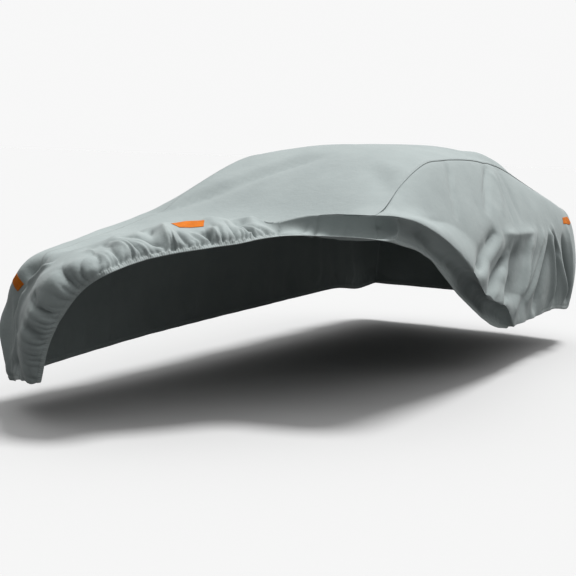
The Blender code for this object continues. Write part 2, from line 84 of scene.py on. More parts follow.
def band(value: np.ndarray, limits: Sequence[float]) -> np.ndarray:
    """Reads a soft band, 1 in its middle and 0 outside it.

    Args:
        value: What is read.
        limits: Where the band starts, is full, fades and ends.

    Returns:
        The share of the band at each value.
    """
    start, full, fade, end = limits
    return ramp((value - start) / (full - start)) * (1 - ramp((value - fade) / (end - fade)))


def eased(count: int, grade: float) -> np.ndarray:
    """Places from 0 to 1, closer together towards 1 where the grade is over 1."""
    return 1 - (1 - np.linspace(0.0, 1.0, count + 1)) ** grade


def evened(values: np.ndarray, count: int, rounds: int = 12) -> np.ndarray:
    """Evens out numbers that a search found in steps.

    Args:
        values: The numbers.
        count: How many of them, from the first, are evened out. The first one is kept.
        rounds: How often each takes part of its neighbours.

    Returns:
        All the numbers.
    """
    smooth = values.copy()
    for _ in range(rounds):
        smooth[1:count] = (smooth[: count - 1] + 2 * smooth[1:count] + smooth[2 : count + 1]) / 4
    return smooth


def spline(
    before: np.ndarray, here: np.ndarray, after: np.ndarray, beyond: np.ndarray, part: np.ndarray
) -> np.ndarray:
    """Reads a smooth curve through four points, on its middle stretch.

    Args:
        before: The point before the stretch.
        here: The point where it starts.
        after: The point where it ends.
        beyond: The point after it.
        part: How far along the stretch to read, from 0 to 1.

    Returns:
        The point on the curve.
    """
    slope = after - before
    bend = 2 * before - 5 * here + 4 * after - beyond
    twist = 3 * here - before - 3 * after + beyond
    return here + 0.5 * part * (slope + part * (bend + part * twist))


def smooth_row(rows: Sequence | np.ndarray, at: np.ndarray | float) -> np.ndarray:
    """Reads the rows of a table as one smooth curve.

    Args:
        rows: The table, one row for each whole step.
        at: Places to read; 2.5 lies halfway from row 2 to row 3.

    Returns:
        One row for each place.
    """
    rows = np.asarray(rows, float)
    at = np.clip(np.asarray(at, float), 0.0, len(rows) - 1.0)
    low = np.minimum(at.astype(int), len(rows) - 2)
    part = (at - low)[..., None]
    here, after = rows[low], rows[low + 1]
    before = np.where((low == 0)[..., None], 2 * here - after, rows[np.maximum(low - 1, 0)])
    last = (low == len(rows) - 2)[..., None]
    beyond = np.where(last, 2 * after - here, rows[np.minimum(low + 2, len(rows) - 1)])
    return spline(before, here, after, beyond, part)


def graded(
    widths: np.ndarray,
    starts: Sequence[float],
    ends: Sequence[float],
    count: int,
    lean: float = 1.0,
) -> np.ndarray:
    """Places from 0 to 1 across strips of cloth, close together beside their edges.

    Args:
        widths: Width of each strip.
        starts: Distances of the first places from the first edge, from 0.
        ends: Distances of the last places from the last edge, from 0.
        count: How many places a strip has.
        lean: Over 1, the places between lie closer together towards the last edge.

    Returns:
        One row of places for each strip.
    """
    widths = np.asarray(widths, float)[:, None]
    start, end = np.asarray(starts, float)[None], np.asarray(ends, float)[None, ::-1]
    tight = np.minimum(1.0, EDGE_SHARE * widths / (start.max() + end.max() + 1e-9))
    start, end = start * tight / widths, 1 - end * tight / widths
    spare = count - start.shape[1] - end.shape[1]
    step = 1 - (1 - np.arange(1, spare + 1) / (spare + 1)) ** lean
    middle = start[:, -1:] * (1 - step) + end[:, :1] * step
    return np.concatenate([start, middle, end], axis=1)


@dataclass(frozen=True)
class LatticeNoise:
    """Smooth noise from about -1 to 1 on a repeating lattice of seeded values."""

    seed: int
    cells: int = 24
    line_place: tuple = (0.37, 0.71)  # where a line runs through the lattice, off the cell faces
    shifts: tuple = (0.0, 7.3, 15.1)  # in cells, between the three readings of a vector

    def at(self, points: np.ndarray, size: float) -> np.ndarray:
        """Reads the noise in space.

        Args:
            points: Places, three numbers each.
            size: Width of a lattice cell.

        Returns:
            One value for each place.
        """
        table = np.random.default_rng(self.seed).uniform(-1, 1, (self.cells,) * 3)
        low = np.floor(points / size).astype(int)
        part = ramp(points / size - low)
        total = np.zeros(points.shape[:-1])
        for corner in np.ndindex(2, 2, 2):
            weight = np.where(np.array(corner) == 1, part, 1 - part).prod(axis=-1)
            cell = (low + np.array(corner)) % self.cells
            total += weight * table[cell[..., 0], cell[..., 1], cell[..., 2]]
        return total

    def along(self, places: np.ndarray, size: float) -> np.ndarray:
        """Reads the noise along a line, at places a number each."""
        beside = [np.full(places.shape, value) for value in self.line_place]
        return self.at(np.stack([places, *beside], axis=-1), size)

    def vectors(self, points: np.ndarray, size: float) -> np.ndarray:
        """Three readings of the noise at each place, as a vector."""
        readings = [self.at(points + shift * size, size) for shift in self.shifts]
        return np.stack(readings, axis=-1)


@dataclass
class ClothPath:
    """A line along an edge of the cloth, with its length from its start to each point."""

    points: np.ndarray
    arc: np.ndarray = field(init=False)
    heading: np.ndarray = field(init=False)
    at_once: int = 8192  # points measured in one go, which bounds the memory

    def __post_init__(self) -> None:
        """Measures the line."""
        steps = np.linalg.norm(np.diff(self.points, axis=0), axis=1)
        self.arc = np.concatenate([[0.0], np.cumsum(steps)])
        self.heading = unit(np.gradient(self.points, axis=0))

    def nearest(self, points: np.ndarray) -> tuple[np.ndarray, np.ndarray]:
        """Finds the nearest place on the line.

        Args:
            points: Places in space.

        Returns:
            The distance of each from the line, and where along the line that is.
        """
        flat = points.reshape(-1, 3)
        gap, place = np.empty(len(flat)), np.empty(len(flat))
        squares = (self.points**2).sum(axis=1)
        reach = 0.5 * self.arc[-1] / (len(self.arc) - 1)
        for first in range(0, len(flat), self.at_once):
            some = slice(first, first + self.at_once)
            index = (squares - 2 * flat[some] @ self.points.T).argmin(axis=1)
            away = flat[some] - self.points[index]
            shift = np.clip((away * self.heading[index]).sum(axis=1), -reach, reach)
            gap[some] = np.linalg.norm(away - self.heading[index] * shift[:, None], axis=1)
            place[some] = self.arc[index] + shift
        return gap.reshape(points.shape[:-1]), place.reshape(points.shape[:-1])


# ---------------------------------------------------------------- the form of the cover
@dataclass(frozen=True)
class CoverForm:
    """The smooth form that the cloth takes over what carries it, without its folds."""

    crown_power: float = 2.8  # how flat a cross-section of the top is before it turns down
    bow_power: float = 2.6  # how flat the nose and tail are in plan
    seam_settle: float = 1.6  # stations over which the near seam comes down to the body
    nose_edge: int = 4
    tail_edge: int = 18
    tail_hem: int = 22
    seam_row: int = 11  # row of free_edge where the near seam crosses it
    search: tuple = (0.0, 13.0, 2601)  # first and last station tried for a point, and how many
    inner_share: float = 0.72  # of the way out to the seam, where the side's curve sets out
    corner_ease: float = 0.7  # stations over which it comes to do so at the two corners
    edge_step: float = 0.2  # rows to either side that give the direction of the free edge
    roll_power: float = 0.85  # below 1, the rolled hem is hollowed more beside its crest
    core: tuple = (0.75, 4.35, 0.62)  # front end, rear end and height of the body's middle
    # centre line and seam line from the nose hem over the top to the tail hem:
    # centre y, centre z, seam x, seam y, seam z
    stations: tuple = (
        (0.10, 0.259, 0.885, 0.320, 0.153),
        (0.03, 0.36, 0.880, 0.310, 0.360),
        (0.00, 0.52, 0.850, 0.300, 0.550),
        (0.03, 0.68, 0.745, 0.260, 0.700),
        (0.15, 0.81, 0.690, 0.300, 0.852),
        (0.40, 0.885, 0.690, 0.520, 0.895),
        (0.80, 0.955, 0.730, 0.850, 0.940),
        (1.20, 1.015, 0.750, 1.200, 1.000),
        (1.50, 1.090, 0.718, 1.480, 1.086),
        (1.90, 1.295, 0.668, 1.880, 1.273),
        (2.30, 1.455, 0.640, 2.300, 1.408),
        (2.65, 1.515, 0.626, 2.650, 1.438),
        (3.00, 1.530, 0.624, 3.000, 1.447),
        (3.35, 1.539, 0.628, 3.350, 1.437),
        (3.70, 1.533, 0.640, 3.700, 1.402),
        (4.10, 1.423, 0.690, 4.100, 1.306),
        (4.45, 1.262, 0.760, 4.420, 1.200),
        (4.75, 1.152, 0.795, 4.700, 1.122),
        (4.98, 1.090, 0.825, 4.930, 1.050),
        (5.10, 0.950, 0.850, 5.030, 0.930),
        (5.14, 0.720, 0.875, 5.060, 0.720),
        (5.12, 0.500, 0.880, 5.050, 0.500),
        (5.06, 0.320, 0.872, 5.010, 0.325),
    )
    # the side below its seam: station, then shoulder, waist, skirt and hem, each x, y, z
    sides: tuple = (
        (4.6, 0.825, 0.315, 0.805, 1.000, 0.370, 0.590, 1.025, 0.350, 0.400, 0.940, 0.370, 0.155),
        (5.5, 0.865, 0.640, 0.870, 1.005, 0.640, 0.640, 1.020, 0.660, 0.420, 0.960, 0.720, 0.185),
        (8.0, 0.870, 1.480, 1.035, 0.945, 1.500, 0.850, 0.960, 1.500, 0.520, 0.940, 1.500, 0.240),
        (10.0, 0.800, 2.300, 1.200, 0.935, 2.300, 0.920, 0.960, 2.300, 0.560, 0.940, 2.300, 0.270),
        (12.0, 0.790, 3.000, 1.220, 0.935, 3.000, 0.930, 0.960, 3.000, 0.580, 0.940, 3.000, 0.290),
        (14.0, 0.800, 3.700, 1.200, 0.935, 3.700, 0.930, 0.960, 3.700, 0.600, 0.940, 3.700, 0.310),
        (16.0, 0.860, 4.420, 1.100, 0.940, 4.400, 0.900, 0.960, 4.380, 0.600, 0.935, 4.340, 0.325),
        (17.4, 0.890, 4.820, 1.000, 0.940, 4.870, 0.780, 0.955, 4.850, 0.540, 0.930, 4.760, 0.288),
    )
    # free edge of the drawn-back corner: hem x, y, z, crest x, y, z, tuck, row of the side's form
    free_edge: tuple = (
        (-0.500, 0.090, 0.232, -0.600, 0.090, 0.223, -0.010, 0.0),
        (-0.440, 0.070, 0.420, -0.570, 0.020, 0.420, -0.020, 0.0),
        (-0.344, 0.060, 0.587, -0.470, 0.000, 0.630, -0.020, 0.0),
        (-0.220, 0.070, 0.735, -0.360, 0.030, 0.800, -0.020, 0.0),
        (-0.090, 0.110, 0.825, -0.260, 0.140, 0.890, -0.020, 0.0),
        (-0.030, 0.360, 0.885, -0.230, 0.420, 0.975, -0.020, 0.0),
        (0.100, 0.550, 0.925, -0.150, 0.700, 1.044, -0.015, 0.0),
        (0.220, 0.750, 0.955, -0.020, 0.920, 1.074, -0.005, 0.0),
        (0.300, 0.890, 0.980, 0.120, 1.060, 1.078, 0.010, 0.0),
        (0.380, 1.000, 1.000, 0.280, 1.130, 1.068, 0.035, 0.0),
        (0.620, 1.060, 1.015, 0.540, 1.200, 1.121, 0.080, 0.0),
        (0.850, 1.150, 1.008, 0.800, 1.270, 1.128, 0.080, 0.0),
        (0.930, 1.310, 0.975, 0.950, 1.260, 1.124, 0.070, 0.55),
        (0.930, 1.674, 0.897, 1.000, 1.465, 1.080, 0.050, 1.20),
        (0.910, 2.030, 0.755, 1.010, 1.870, 0.958, 0.040, 1.70),
        (0.910, 2.380, 0.590, 1.015, 2.260, 0.779, 0.050, 2.40),
        (0.920, 2.750, 0.427, 1.005, 2.600, 0.580, 0.080, 2.95),
        (0.925, 3.000, 0.340, 1.000, 3.000, 0.480, 0.085, 3.30),
        (0.930, 3.240, 0.300, 0.965, 3.300, 0.310, 0.012, 4.0),
    )

    def seam_point(self, station: np.ndarray | float) -> np.ndarray:
        """Points of the near seam line where the cloth lies on the body."""
        return smooth_row(self.stations, station)[..., 2:5]

    def top_point(self, x: np.ndarray, station: np.ndarray) -> np.ndarray:
        """Reads points of the top without its folds.

        Args:
            x: Distances from the centre line.
            station: Places along it.

        Returns:
            The points.
        """
        row = smooth_row(self.stations, station)
        reach = np.abs(x) / row[..., 2]
        y = row[..., 0] + (row[..., 3] - row[..., 0]) * reach**self.bow_power
        z = row[..., 1] + (row[..., 4] - row[..., 1]) * reach**self.crown_power
        return np.stack([np.broadcast_to(x, y.shape), y, z], axis=-1)

    def nearest_station(self, point: np.ndarray) -> float:
        """Finds the cross-section of the top that passes nearest to a point.

        Args:
            point: A point on the crest of the rolled hem.

        Returns:
            The station of that cross-section.
        """
        tries = np.linspace(*self.search)
        gaps = self.top_point(np.full(tries.shape, point[0]), tries) - point
        return float(tries[np.argmin((gaps**2).sum(axis=1))])

    @property
    def seam_station(self) -> float:
        """The station where the near seam starts, on the crest of the rolled hem."""
        return self.nearest_station(np.array(self.free_edge[self.seam_row][3:6]))

    @property
    def seam_lift(self) -> np.ndarray:
        """How far the rolled hem lifts the start of the near seam off the body."""
        crest = np.array(self.free_edge[self.seam_row][3:6])
        return crest - self.seam_point(self.seam_station)

    def near_seam(self, station: np.ndarray) -> np.ndarray:
        """The near seam, lifted where it leaves the rolled hem."""
        along = np.clip((station - self.seam_station) / self.seam_settle, 0.0, 1.0)
        return self.seam_point(station) + self.seam_lift * (1 - ramp(along))[..., None]

    def side_table(self) -> tuple[np.ndarray, np.ndarray]:
        """Adds the two corner seams to the rows of sides.

        Returns:
            The station of each row, and the rows.
        """
        nose = np.concatenate([self.seam_point(self.nose_edge - 1.0 - row) for row in range(4)])
        tail = np.concatenate([self.seam_point(self.tail_edge + 1.0 + row) for row in range(4)])
        middle = np.array(self.sides)
        places = np.concatenate([[self.nose_edge], middle[:, 0], [self.tail_edge]])
        return places, np.vstack([nose, middle[:, 1:], tail])

    def side_point(self, station: np.ndarray, row: np.ndarray) -> np.ndarray:
        """Points of the near side without its folds.

        Args:
            station: Places along the seam.
            row: 0 at the seam, then 1 shoulder, 2 waist, 3 skirt and 4 hem.

        Returns:
            The points.
        """
        places, table = self.side_table()
        at = np.interp(station, places, np.arange(len(places)))
        below = smooth_row(table, at).reshape(at.shape + (4, 3))
        seam = self.seam_point(station)
        inner = self.top_point(self.inner_share * seam[..., 0], station)
        nose = ramp((station - self.nose_edge) / self.corner_ease)[..., None]
        tail = ramp((self.tail_edge - station) / self.corner_ease)[..., None]
        inner = self.seam_point(self.nose_edge + 1.0) * (1 - nose) + inner * nose
        inner = self.seam_point(self.tail_edge - 1.0) * (1 - tail) + inner * tail
        beyond = 2 * below[..., -1, :] - below[..., -2, :]
        ends = (inner[..., None, :], seam[..., None, :], below, beyond[..., None, :])
        line = np.concatenate(ends, axis=-2)
        low = np.minimum(row.astype(int), 3)
        four = (
            np.take_along_axis(line, (low + step)[..., None, None], axis=-2)[..., 0, :]
            for step in range(4)
        )
        return spline(*four, (row - low)[..., None])

    def edge_rows(self, at: np.ndarray) -> tuple[np.ndarray, np.ndarray, np.ndarray]:
        """Hem point, crest point and tuck of the free edge at places along it."""
        row = smooth_row(self.free_edge, at)
        return row[..., 0:3], row[..., 3:6], row[..., 6]

    def rolled(self, at: np.ndarray, part: np.ndarray) -> np.ndarray:
        """Points across the rolled hem.

        Args:
            at: Places along the free edge.
            part: For each place, how far across from the crest, 0, to the hem, 1.

        Returns:
            Rows of points, one row for each place along the edge.
        """
        hem, crest, tuck = self.edge_rows(at)
        step = self.edge_step
        ahead = self.edge_rows(at + step)[1] - self.edge_rows(at - step)[1]
        across = hem - crest
        inward = unit(np.cross(ahead, across))
        hollow = np.sin(np.pi * part**self.roll_power)
        return (
            crest[:, None]
            + across[:, None] * part[..., None]
            + inward[:, None] * (tuck[:, None] * hollow)[..., None]
        )

    def outward(self, points: np.ndarray) -> np.ndarray:
        """Points out through the cloth, and level on its lower half.

        Args:
            points: Points of the cloth.

        Returns:
            One unit vector for each, away from the middle of the body.
        """
        front, rear, height = self.core
        middle = np.zeros_like(points)
        middle[..., 1] = np.clip(points[..., 1], front, rear)
        middle[..., 2] = np.minimum(points[..., 2], height)
        return unit(points - middle)


FORM = CoverForm()


# ---------------------------------------------------------------- folds and gathers
@dataclass(frozen=True)
class FoldRuns:
    """Folds laid along straight runs, each a little bowed."""

    seed: int = 0  # of the noise that bows them
    bow: float = 0.0  # how far a fold strays from its straight run
    bow_size: float = 1.0
    past: float = 0.0  # how far past its run a fold dies out, as a share of the run
    fade: float = 1.0  # over what share of the run it does so
    section: float = 2.0  # how round a fold is across its run, and less is sharper
    shoulder: float = 0.0  # how much the cloth dips on both sides of a fold
    runs: tuple = ()  # from x, y, z, to x, y, z, half width, height (below 0 in a trough)

    def height(self, points: np.ndarray) -> np.ndarray:
        """Measures how far the folds lift the cloth.

        Args:
            points: Points of the cloth without its folds.

        Returns:
            The lift at each point.
        """
        strayed = points + self.bow * LatticeNoise(self.seed).vectors(points, self.bow_size)
        total = np.zeros(points.shape[:-1])
        for x0, y0, z0, x1, y1, z1, half_width, lift in self.runs:
            start = np.array((x0, y0, z0))
            run = np.array((x1, y1, z1)) - start
            along = ((strayed - start) @ run) / (run @ run)
            foot = start + np.clip(along, 0.0, 1.0)[..., None] * run
            beside = np.linalg.norm(strayed - foot, axis=-1) / half_width
            ends = ramp((along + self.past) / self.fade) * ramp((1 + self.past - along) / self.fade)
            dip = 1 - self.shoulder * beside**2
            total += lift * ends * np.exp(-(beside**self.section)) * dip
        return total


@dataclass(frozen=True)
class MainFolds(FoldRuns):
    """The main folds, as the solids have them, and the long gathers over the plain hems."""

    seed: int = 11
    bow: float = 0.014
    bow_size: float = 0.34
    past: float = 0.25
    fade: float = 0.5
    section: float = 1.8
    shoulder: float = 0.16
    hem_gather: float = 0.006  # height of the long gathers over the side and tail hems
    hem_gather_top: float = 0.52  # they start under this height
    hem_gather_full: float = 0.26  # and are full under this one
    hem_pitch: float = 0.24
    hem_slant: float = 0.9  # how much x counts beside y as a place round the hem
    hem_drift: tuple = (1.1, 5.1)  # how uneven the pitch is, and how fast that changes
    runs: tuple = (
        (-0.72, 1.42, 1.06, -0.05, 2.22, 1.43, 0.060, -0.016),
        (-0.66, 1.64, 1.17, -0.12, 2.34, 1.46, 0.060, 0.008),
        (0.36, 2.10, 1.38, 0.66, 1.80, 1.24, 0.070, -0.014),
        (0.44, 2.20, 1.42, 0.64, 2.04, 1.34, 0.060, 0.008),
        (0.50, 3.45, 1.49, 0.58, 4.05, 1.38, 0.080, 0.032),
        (-0.50, 0.16, 0.87, -0.74, 0.26, 0.69, 0.030, 0.014),
        (-0.64, 0.26, 0.86, -0.78, 0.28, 0.74, 0.060, -0.026),
        (-0.30, 0.02, 0.74, -0.56, 0.12, 0.78, 0.050, 0.008),
        (-0.36, 0.02, 0.64, -0.64, 0.16, 0.68, 0.045, -0.007),
        (-0.43, 0.02, 0.52, -0.74, 0.22, 0.58, 0.050, 0.006),
        (-0.46, 0.02, 0.42, -0.76, 0.22, 0.46, 0.045, -0.006),
        (-0.50, 0.03, 0.33, -0.80, 0.24, 0.35, 0.050, 0.004),
        (-0.86, 0.30, 0.68, -0.88, 0.31, 0.20, 0.035, 0.016),
        (-0.97, 0.38, 0.62, -0.93, 0.40, 0.24, 0.060, -0.022),
        (-0.16, 0.14, 0.87, -0.40, 0.34, 0.93, 0.050, -0.014),
        (-0.08, 0.24, 0.90, -0.34, 0.46, 0.97, 0.045, 0.014),
        (-0.02, 0.40, 0.93, -0.30, 0.60, 1.00, 0.045, -0.018),
        (0.04, 0.50, 0.95, -0.22, 0.74, 1.04, 0.045, 0.016),
        (0.10, 0.60, 0.97, -0.12, 0.84, 1.05, 0.040, -0.022),
        (0.16, 0.70, 0.98, -0.04, 0.94, 1.07, 0.045, 0.018),
        (0.22, 0.78, 1.00, 0.04, 1.02, 1.07, 0.040, -0.024),
        (0.30, 0.88, 1.01, 0.12, 1.10, 1.08, 0.045, 0.024),
        (0.36, 0.96, 1.02, 0.20, 1.14, 1.07, 0.035, -0.008),
        (0.69, 2.62, 1.37, 0.86, 2.34, 1.10, 0.040, -0.010),
        (0.66, 3.42, 1.40, 0.86, 2.92, 1.12, 0.045, -0.020),
        (0.67, 3.52, 1.39, 0.88, 3.22, 1.10, 0.045, 0.012),
        (0.67, 3.64, 1.38, 0.90, 3.54, 1.04, 0.040, -0.010),
        (0.94, 3.15, 0.95, 0.94, 3.76, 0.94, 0.060, 0.012),
        (0.95, 3.20, 0.80, 0.95, 3.70, 0.79, 0.070, -0.012),
        (0.92, 2.90, 0.98, 1.00, 2.34, 0.77, 0.050, -0.034),
        (0.94, 3.02, 0.95, 1.00, 2.48, 0.70, 0.055, 0.022),
        (0.95, 3.18, 0.86, 1.00, 2.64, 0.59, 0.050, -0.034),
        (0.96, 3.14, 0.72, 0.99, 2.86, 0.52, 0.050, 0.022),
        (0.94, 3.78, 0.93, 0.97, 3.26, 0.44, 0.060, 0.028),
        (0.95, 3.90, 0.86, 0.96, 3.44, 0.40, 0.050, -0.024),
        (0.94, 4.03, 0.92, 0.96, 3.60, 0.46, 0.050, 0.026),
        (0.95, 4.02, 0.80, 0.95, 3.82, 0.38, 0.060, -0.028),
        (0.95, 4.11, 0.92, 0.95, 4.27, 0.30, 0.035, 0.028),
        (0.95, 4.19, 0.90, 0.95, 4.42, 0.32, 0.045, -0.036),
        (0.94, 4.24, 0.98, 0.95, 4.60, 0.32, 0.040, 0.024),
        (0.95, 4.48, 0.88, 0.95, 4.68, 0.36, 0.045, -0.030),
        (0.93, 4.62, 0.96, 0.95, 4.78, 0.38, 0.045, 0.016),
        (-0.90, 1.00, 0.92, -0.98, 0.84, 0.24, 0.090, 0.018),
        (-0.92, 1.30, 0.96, -0.96, 1.22, 0.26, 0.080, -0.020),
        (-0.90, 1.72, 1.04, -0.96, 1.66, 0.26, 0.090, 0.018),
        (-0.84, 2.30, 1.16, -0.96, 2.16, 0.28, 0.080, -0.020),
        (-0.84, 2.74, 1.18, -0.96, 2.60, 0.28, 0.100, 0.020),
        (-0.84, 3.20, 1.18, -0.96, 3.10, 0.30, 0.080, -0.022),
        (-0.86, 3.60, 1.16, -0.96, 3.56, 0.30, 0.080, 0.022),
        (-0.88, 3.96, 1.08, -0.96, 4.04, 0.32, 0.070, -0.028),
        (-0.90, 4.24, 1.02, -0.96, 4.40, 0.32, 0.070, 0.026),
        (-0.92, 4.50, 0.98, -0.95, 4.72, 0.34, 0.060, -0.026),
        (-0.62, 5.02, 0.92, -0.60, 5.12, 0.36, 0.080, -0.020),
        (-0.30, 5.08, 0.90, -0.24, 5.14, 0.36, 0.090, 0.018),
        (0.06, 5.10, 0.88, 0.02, 5.14, 0.36, 0.080, -0.018),
        (0.34, 5.08, 0.90, 0.42, 5.12, 0.36, 0.090, 0.020),
        (0.66, 5.02, 0.92, 0.70, 5.08, 0.36, 0.070, -0.022),
    )

    def height(self, points: np.ndarray) -> np.ndarray:
        """Measures how far the main folds and the plain hems' gathers lift the cloth.

        Args:
            points: Points of the cloth without its folds.

        Returns:
            The lift at each point.
        """
        round_hem = points[..., 1] + points[..., 0] * self.hem_slant
        size, pace = self.hem_drift
        wave = np.sin(2 * np.pi * round_hem / self.hem_pitch + size * np.sin(round_hem * pace))
        span = self.hem_gather_top - self.hem_gather_full
        low = ramp((self.hem_gather_top - points[..., 2]) / span)
        return super().height(points) + self.hem_gather * low * wave


@dataclass(frozen=True)
class DrawnCreases(FoldRuns):
    """Sharper creases than the solids have, along short bowed runs."""

    seed: int = 12
    bow: float = 0.016
    bow_size: float = 0.21
    past: float = 0.12
    fade: float = 0.35
    section: float = 1.35
    runs: tuple = (
        # nose: the pleat at its corner, the dent over it, the corner ridge, the tuck over the hem
        (-0.50, 0.15, 0.84, -0.72, 0.24, 0.70, 0.020, 0.026),
        (-0.52, 0.17, 0.87, -0.78, 0.27, 0.74, 0.032, -0.026),
        (-0.72, 0.22, 0.70, -0.80, 0.24, 0.45, 0.022, 0.024),
        (-0.80, 0.24, 0.45, -0.875, 0.30, 0.27, 0.020, 0.016),
        (-0.92, 0.35, 0.60, -0.94, 0.38, 0.36, 0.050, -0.016),
        (-0.88, 0.31, 0.265, -0.50, 0.07, 0.30, 0.056, -0.034),
        (-0.52, 0.04, 0.70, -0.44, 0.02, 0.66, 0.022, -0.018),
        (-0.44, 0.02, 0.66, -0.36, 0.05, 0.56, 0.020, -0.028),
        (-0.40, 0.03, 0.67, -0.34, 0.05, 0.60, 0.022, 0.018),
        (-0.52, 0.01, 0.55, -0.43, 0.05, 0.44, 0.024, -0.030),
        (-0.70, 0.12, 0.45, -0.52, 0.03, 0.40, 0.020, 0.020),
        (-0.70, 0.12, 0.41, -0.49, 0.05, 0.36, 0.020, -0.026),
        (-0.31, 0.06, 0.84, -0.21, 0.07, 0.77, 0.016, -0.022),
        (-0.34, 0.03, 0.78, -0.26, 0.06, 0.70, 0.016, -0.022),
        # hood: pointed ridges and deep pockets over the gathered hem
        (-0.36, 0.27, 0.93, -0.14, 0.17, 0.87, 0.028, 0.020),
        (-0.32, 0.35, 0.95, -0.10, 0.26, 0.88, 0.024, -0.022),
        (-0.23, 0.53, 1.00, -0.05, 0.34, 0.89, 0.030, 0.024),
        (-0.21, 0.60, 1.02, -0.04, 0.43, 0.92, 0.022, -0.026),
        (-0.17, 0.65, 1.03, 0.00, 0.48, 0.93, 0.030, 0.026),
        (-0.06, 0.60, 1.01, 0.08, 0.55, 0.94, 0.024, -0.032),
        (0.01, 0.67, 1.00, 0.11, 0.63, 0.95, 0.022, 0.020),
        (0.03, 0.72, 1.01, 0.13, 0.67, 0.96, 0.022, -0.034),
        (0.03, 0.82, 1.04, 0.16, 0.73, 0.97, 0.022, -0.032),
        (0.03, 0.98, 1.07, 0.20, 0.79, 0.98, 0.038, 0.036),
        (0.10, 1.03, 1.08, 0.25, 0.87, 0.99, 0.024, -0.036),
        (0.16, 1.06, 1.08, 0.31, 0.92, 1.00, 0.024, 0.014),
        # long pulls over the front slope, and a dent beside the crown
        (-0.79, 1.37, 1.04, -0.45, 1.77, 1.22, 0.036, -0.011),
        (-0.45, 1.77, 1.22, -0.02, 2.24, 1.44, 0.036, -0.009),
        (-0.70, 1.56, 1.12, -0.20, 2.12, 1.39, 0.040, 0.006),
        (-0.44, 1.55, 1.11, -0.10, 1.94, 1.31, 0.030, -0.005),
        (0.44, 1.88, 1.27, 0.48, 2.16, 1.40, 0.030, 0.008),
        (0.52, 1.82, 1.24, 0.55, 2.10, 1.36, 0.034, -0.007),
        # rolled hem: the dark valley under its crest, then a second crease and its lit ridge
        (0.46, 1.09, 1.03, 0.86, 1.22, 1.03, 0.036, -0.026),
        (0.80, 1.27, 1.06, 0.93, 1.64, 0.92, 0.016, -0.024),
        (0.93, 1.46, 1.04, 0.93, 2.04, 0.83, 0.022, -0.030),
        (0.91, 1.42, 0.97, 0.92, 1.66, 0.88, 0.030, 0.016),
        (0.92, 1.70, 0.89, 0.92, 2.14, 0.76, 0.026, 0.030),
        (0.93, 2.00, 0.86, 0.94, 2.55, 0.60, 0.034, -0.030),
        (0.92, 2.20, 0.70, 0.93, 2.90, 0.44, 0.050, -0.040),
        (0.94, 2.60, 0.58, 0.94, 3.10, 0.42, 0.040, -0.034),
        # upper side: drawn from the seam
        (0.64, 2.69, 1.42, 0.80, 2.42, 1.20, 0.030, -0.009),
        (0.62, 2.78, 1.43, 0.78, 2.54, 1.24, 0.024, 0.005),
        (0.66, 3.42, 1.40, 0.81, 2.99, 1.19, 0.017, -0.012),
        (0.67, 3.43, 1.39, 0.83, 3.39, 1.16, 0.020, 0.008),
        (0.70, 3.53, 1.36, 0.90, 3.36, 1.04, 0.020, -0.008),
        (0.81, 2.82, 1.19, 0.91, 2.68, 0.94, 0.050, -0.006),
        (0.84, 3.16, 1.14, 0.92, 2.98, 0.96, 0.040, 0.006),
        # rear quarter, from its knot back to the tail corner
        (0.93, 2.92, 0.97, 0.99, 2.41, 0.76, 0.020, -0.038),
        (0.93, 2.80, 0.95, 0.99, 2.34, 0.80, 0.030, 0.012),
        (0.95, 3.16, 0.81, 1.00, 2.60, 0.60, 0.020, -0.040),
        (0.96, 3.04, 0.72, 1.00, 2.74, 0.55, 0.040, 0.022),
        (0.95, 3.20, 0.66, 0.99, 2.94, 0.50, 0.024, -0.020),
        (0.93, 3.10, 0.96, 0.94, 3.72, 0.95, 0.026, 0.016),
        (0.95, 3.40, 0.90, 0.98, 3.06, 0.55, 0.074, -0.034),
        (0.95, 3.67, 0.95, 0.97, 3.34, 0.47, 0.026, 0.032),
        (0.95, 3.80, 0.93, 0.96, 3.47, 0.50, 0.020, -0.026),
        (0.94, 3.96, 0.95, 0.96, 3.55, 0.50, 0.030, 0.032),
        (0.94, 4.07, 0.90, 0.95, 3.82, 0.38, 0.050, -0.036),
        (0.94, 4.15, 0.92, 0.95, 4.20, 0.34, 0.020, 0.024),
        (0.94, 4.25, 0.92, 0.96, 4.32, 0.34, 0.042, -0.050),
        (0.95, 4.11, 0.94, 0.94, 4.66, 0.34, 0.026, 0.034),
        (0.93, 4.50, 0.86, 0.95, 4.75, 0.36, 0.040, -0.044),
        (0.93, 4.66, 0.84, 0.95, 4.82, 0.40, 0.022, 0.014),
    )


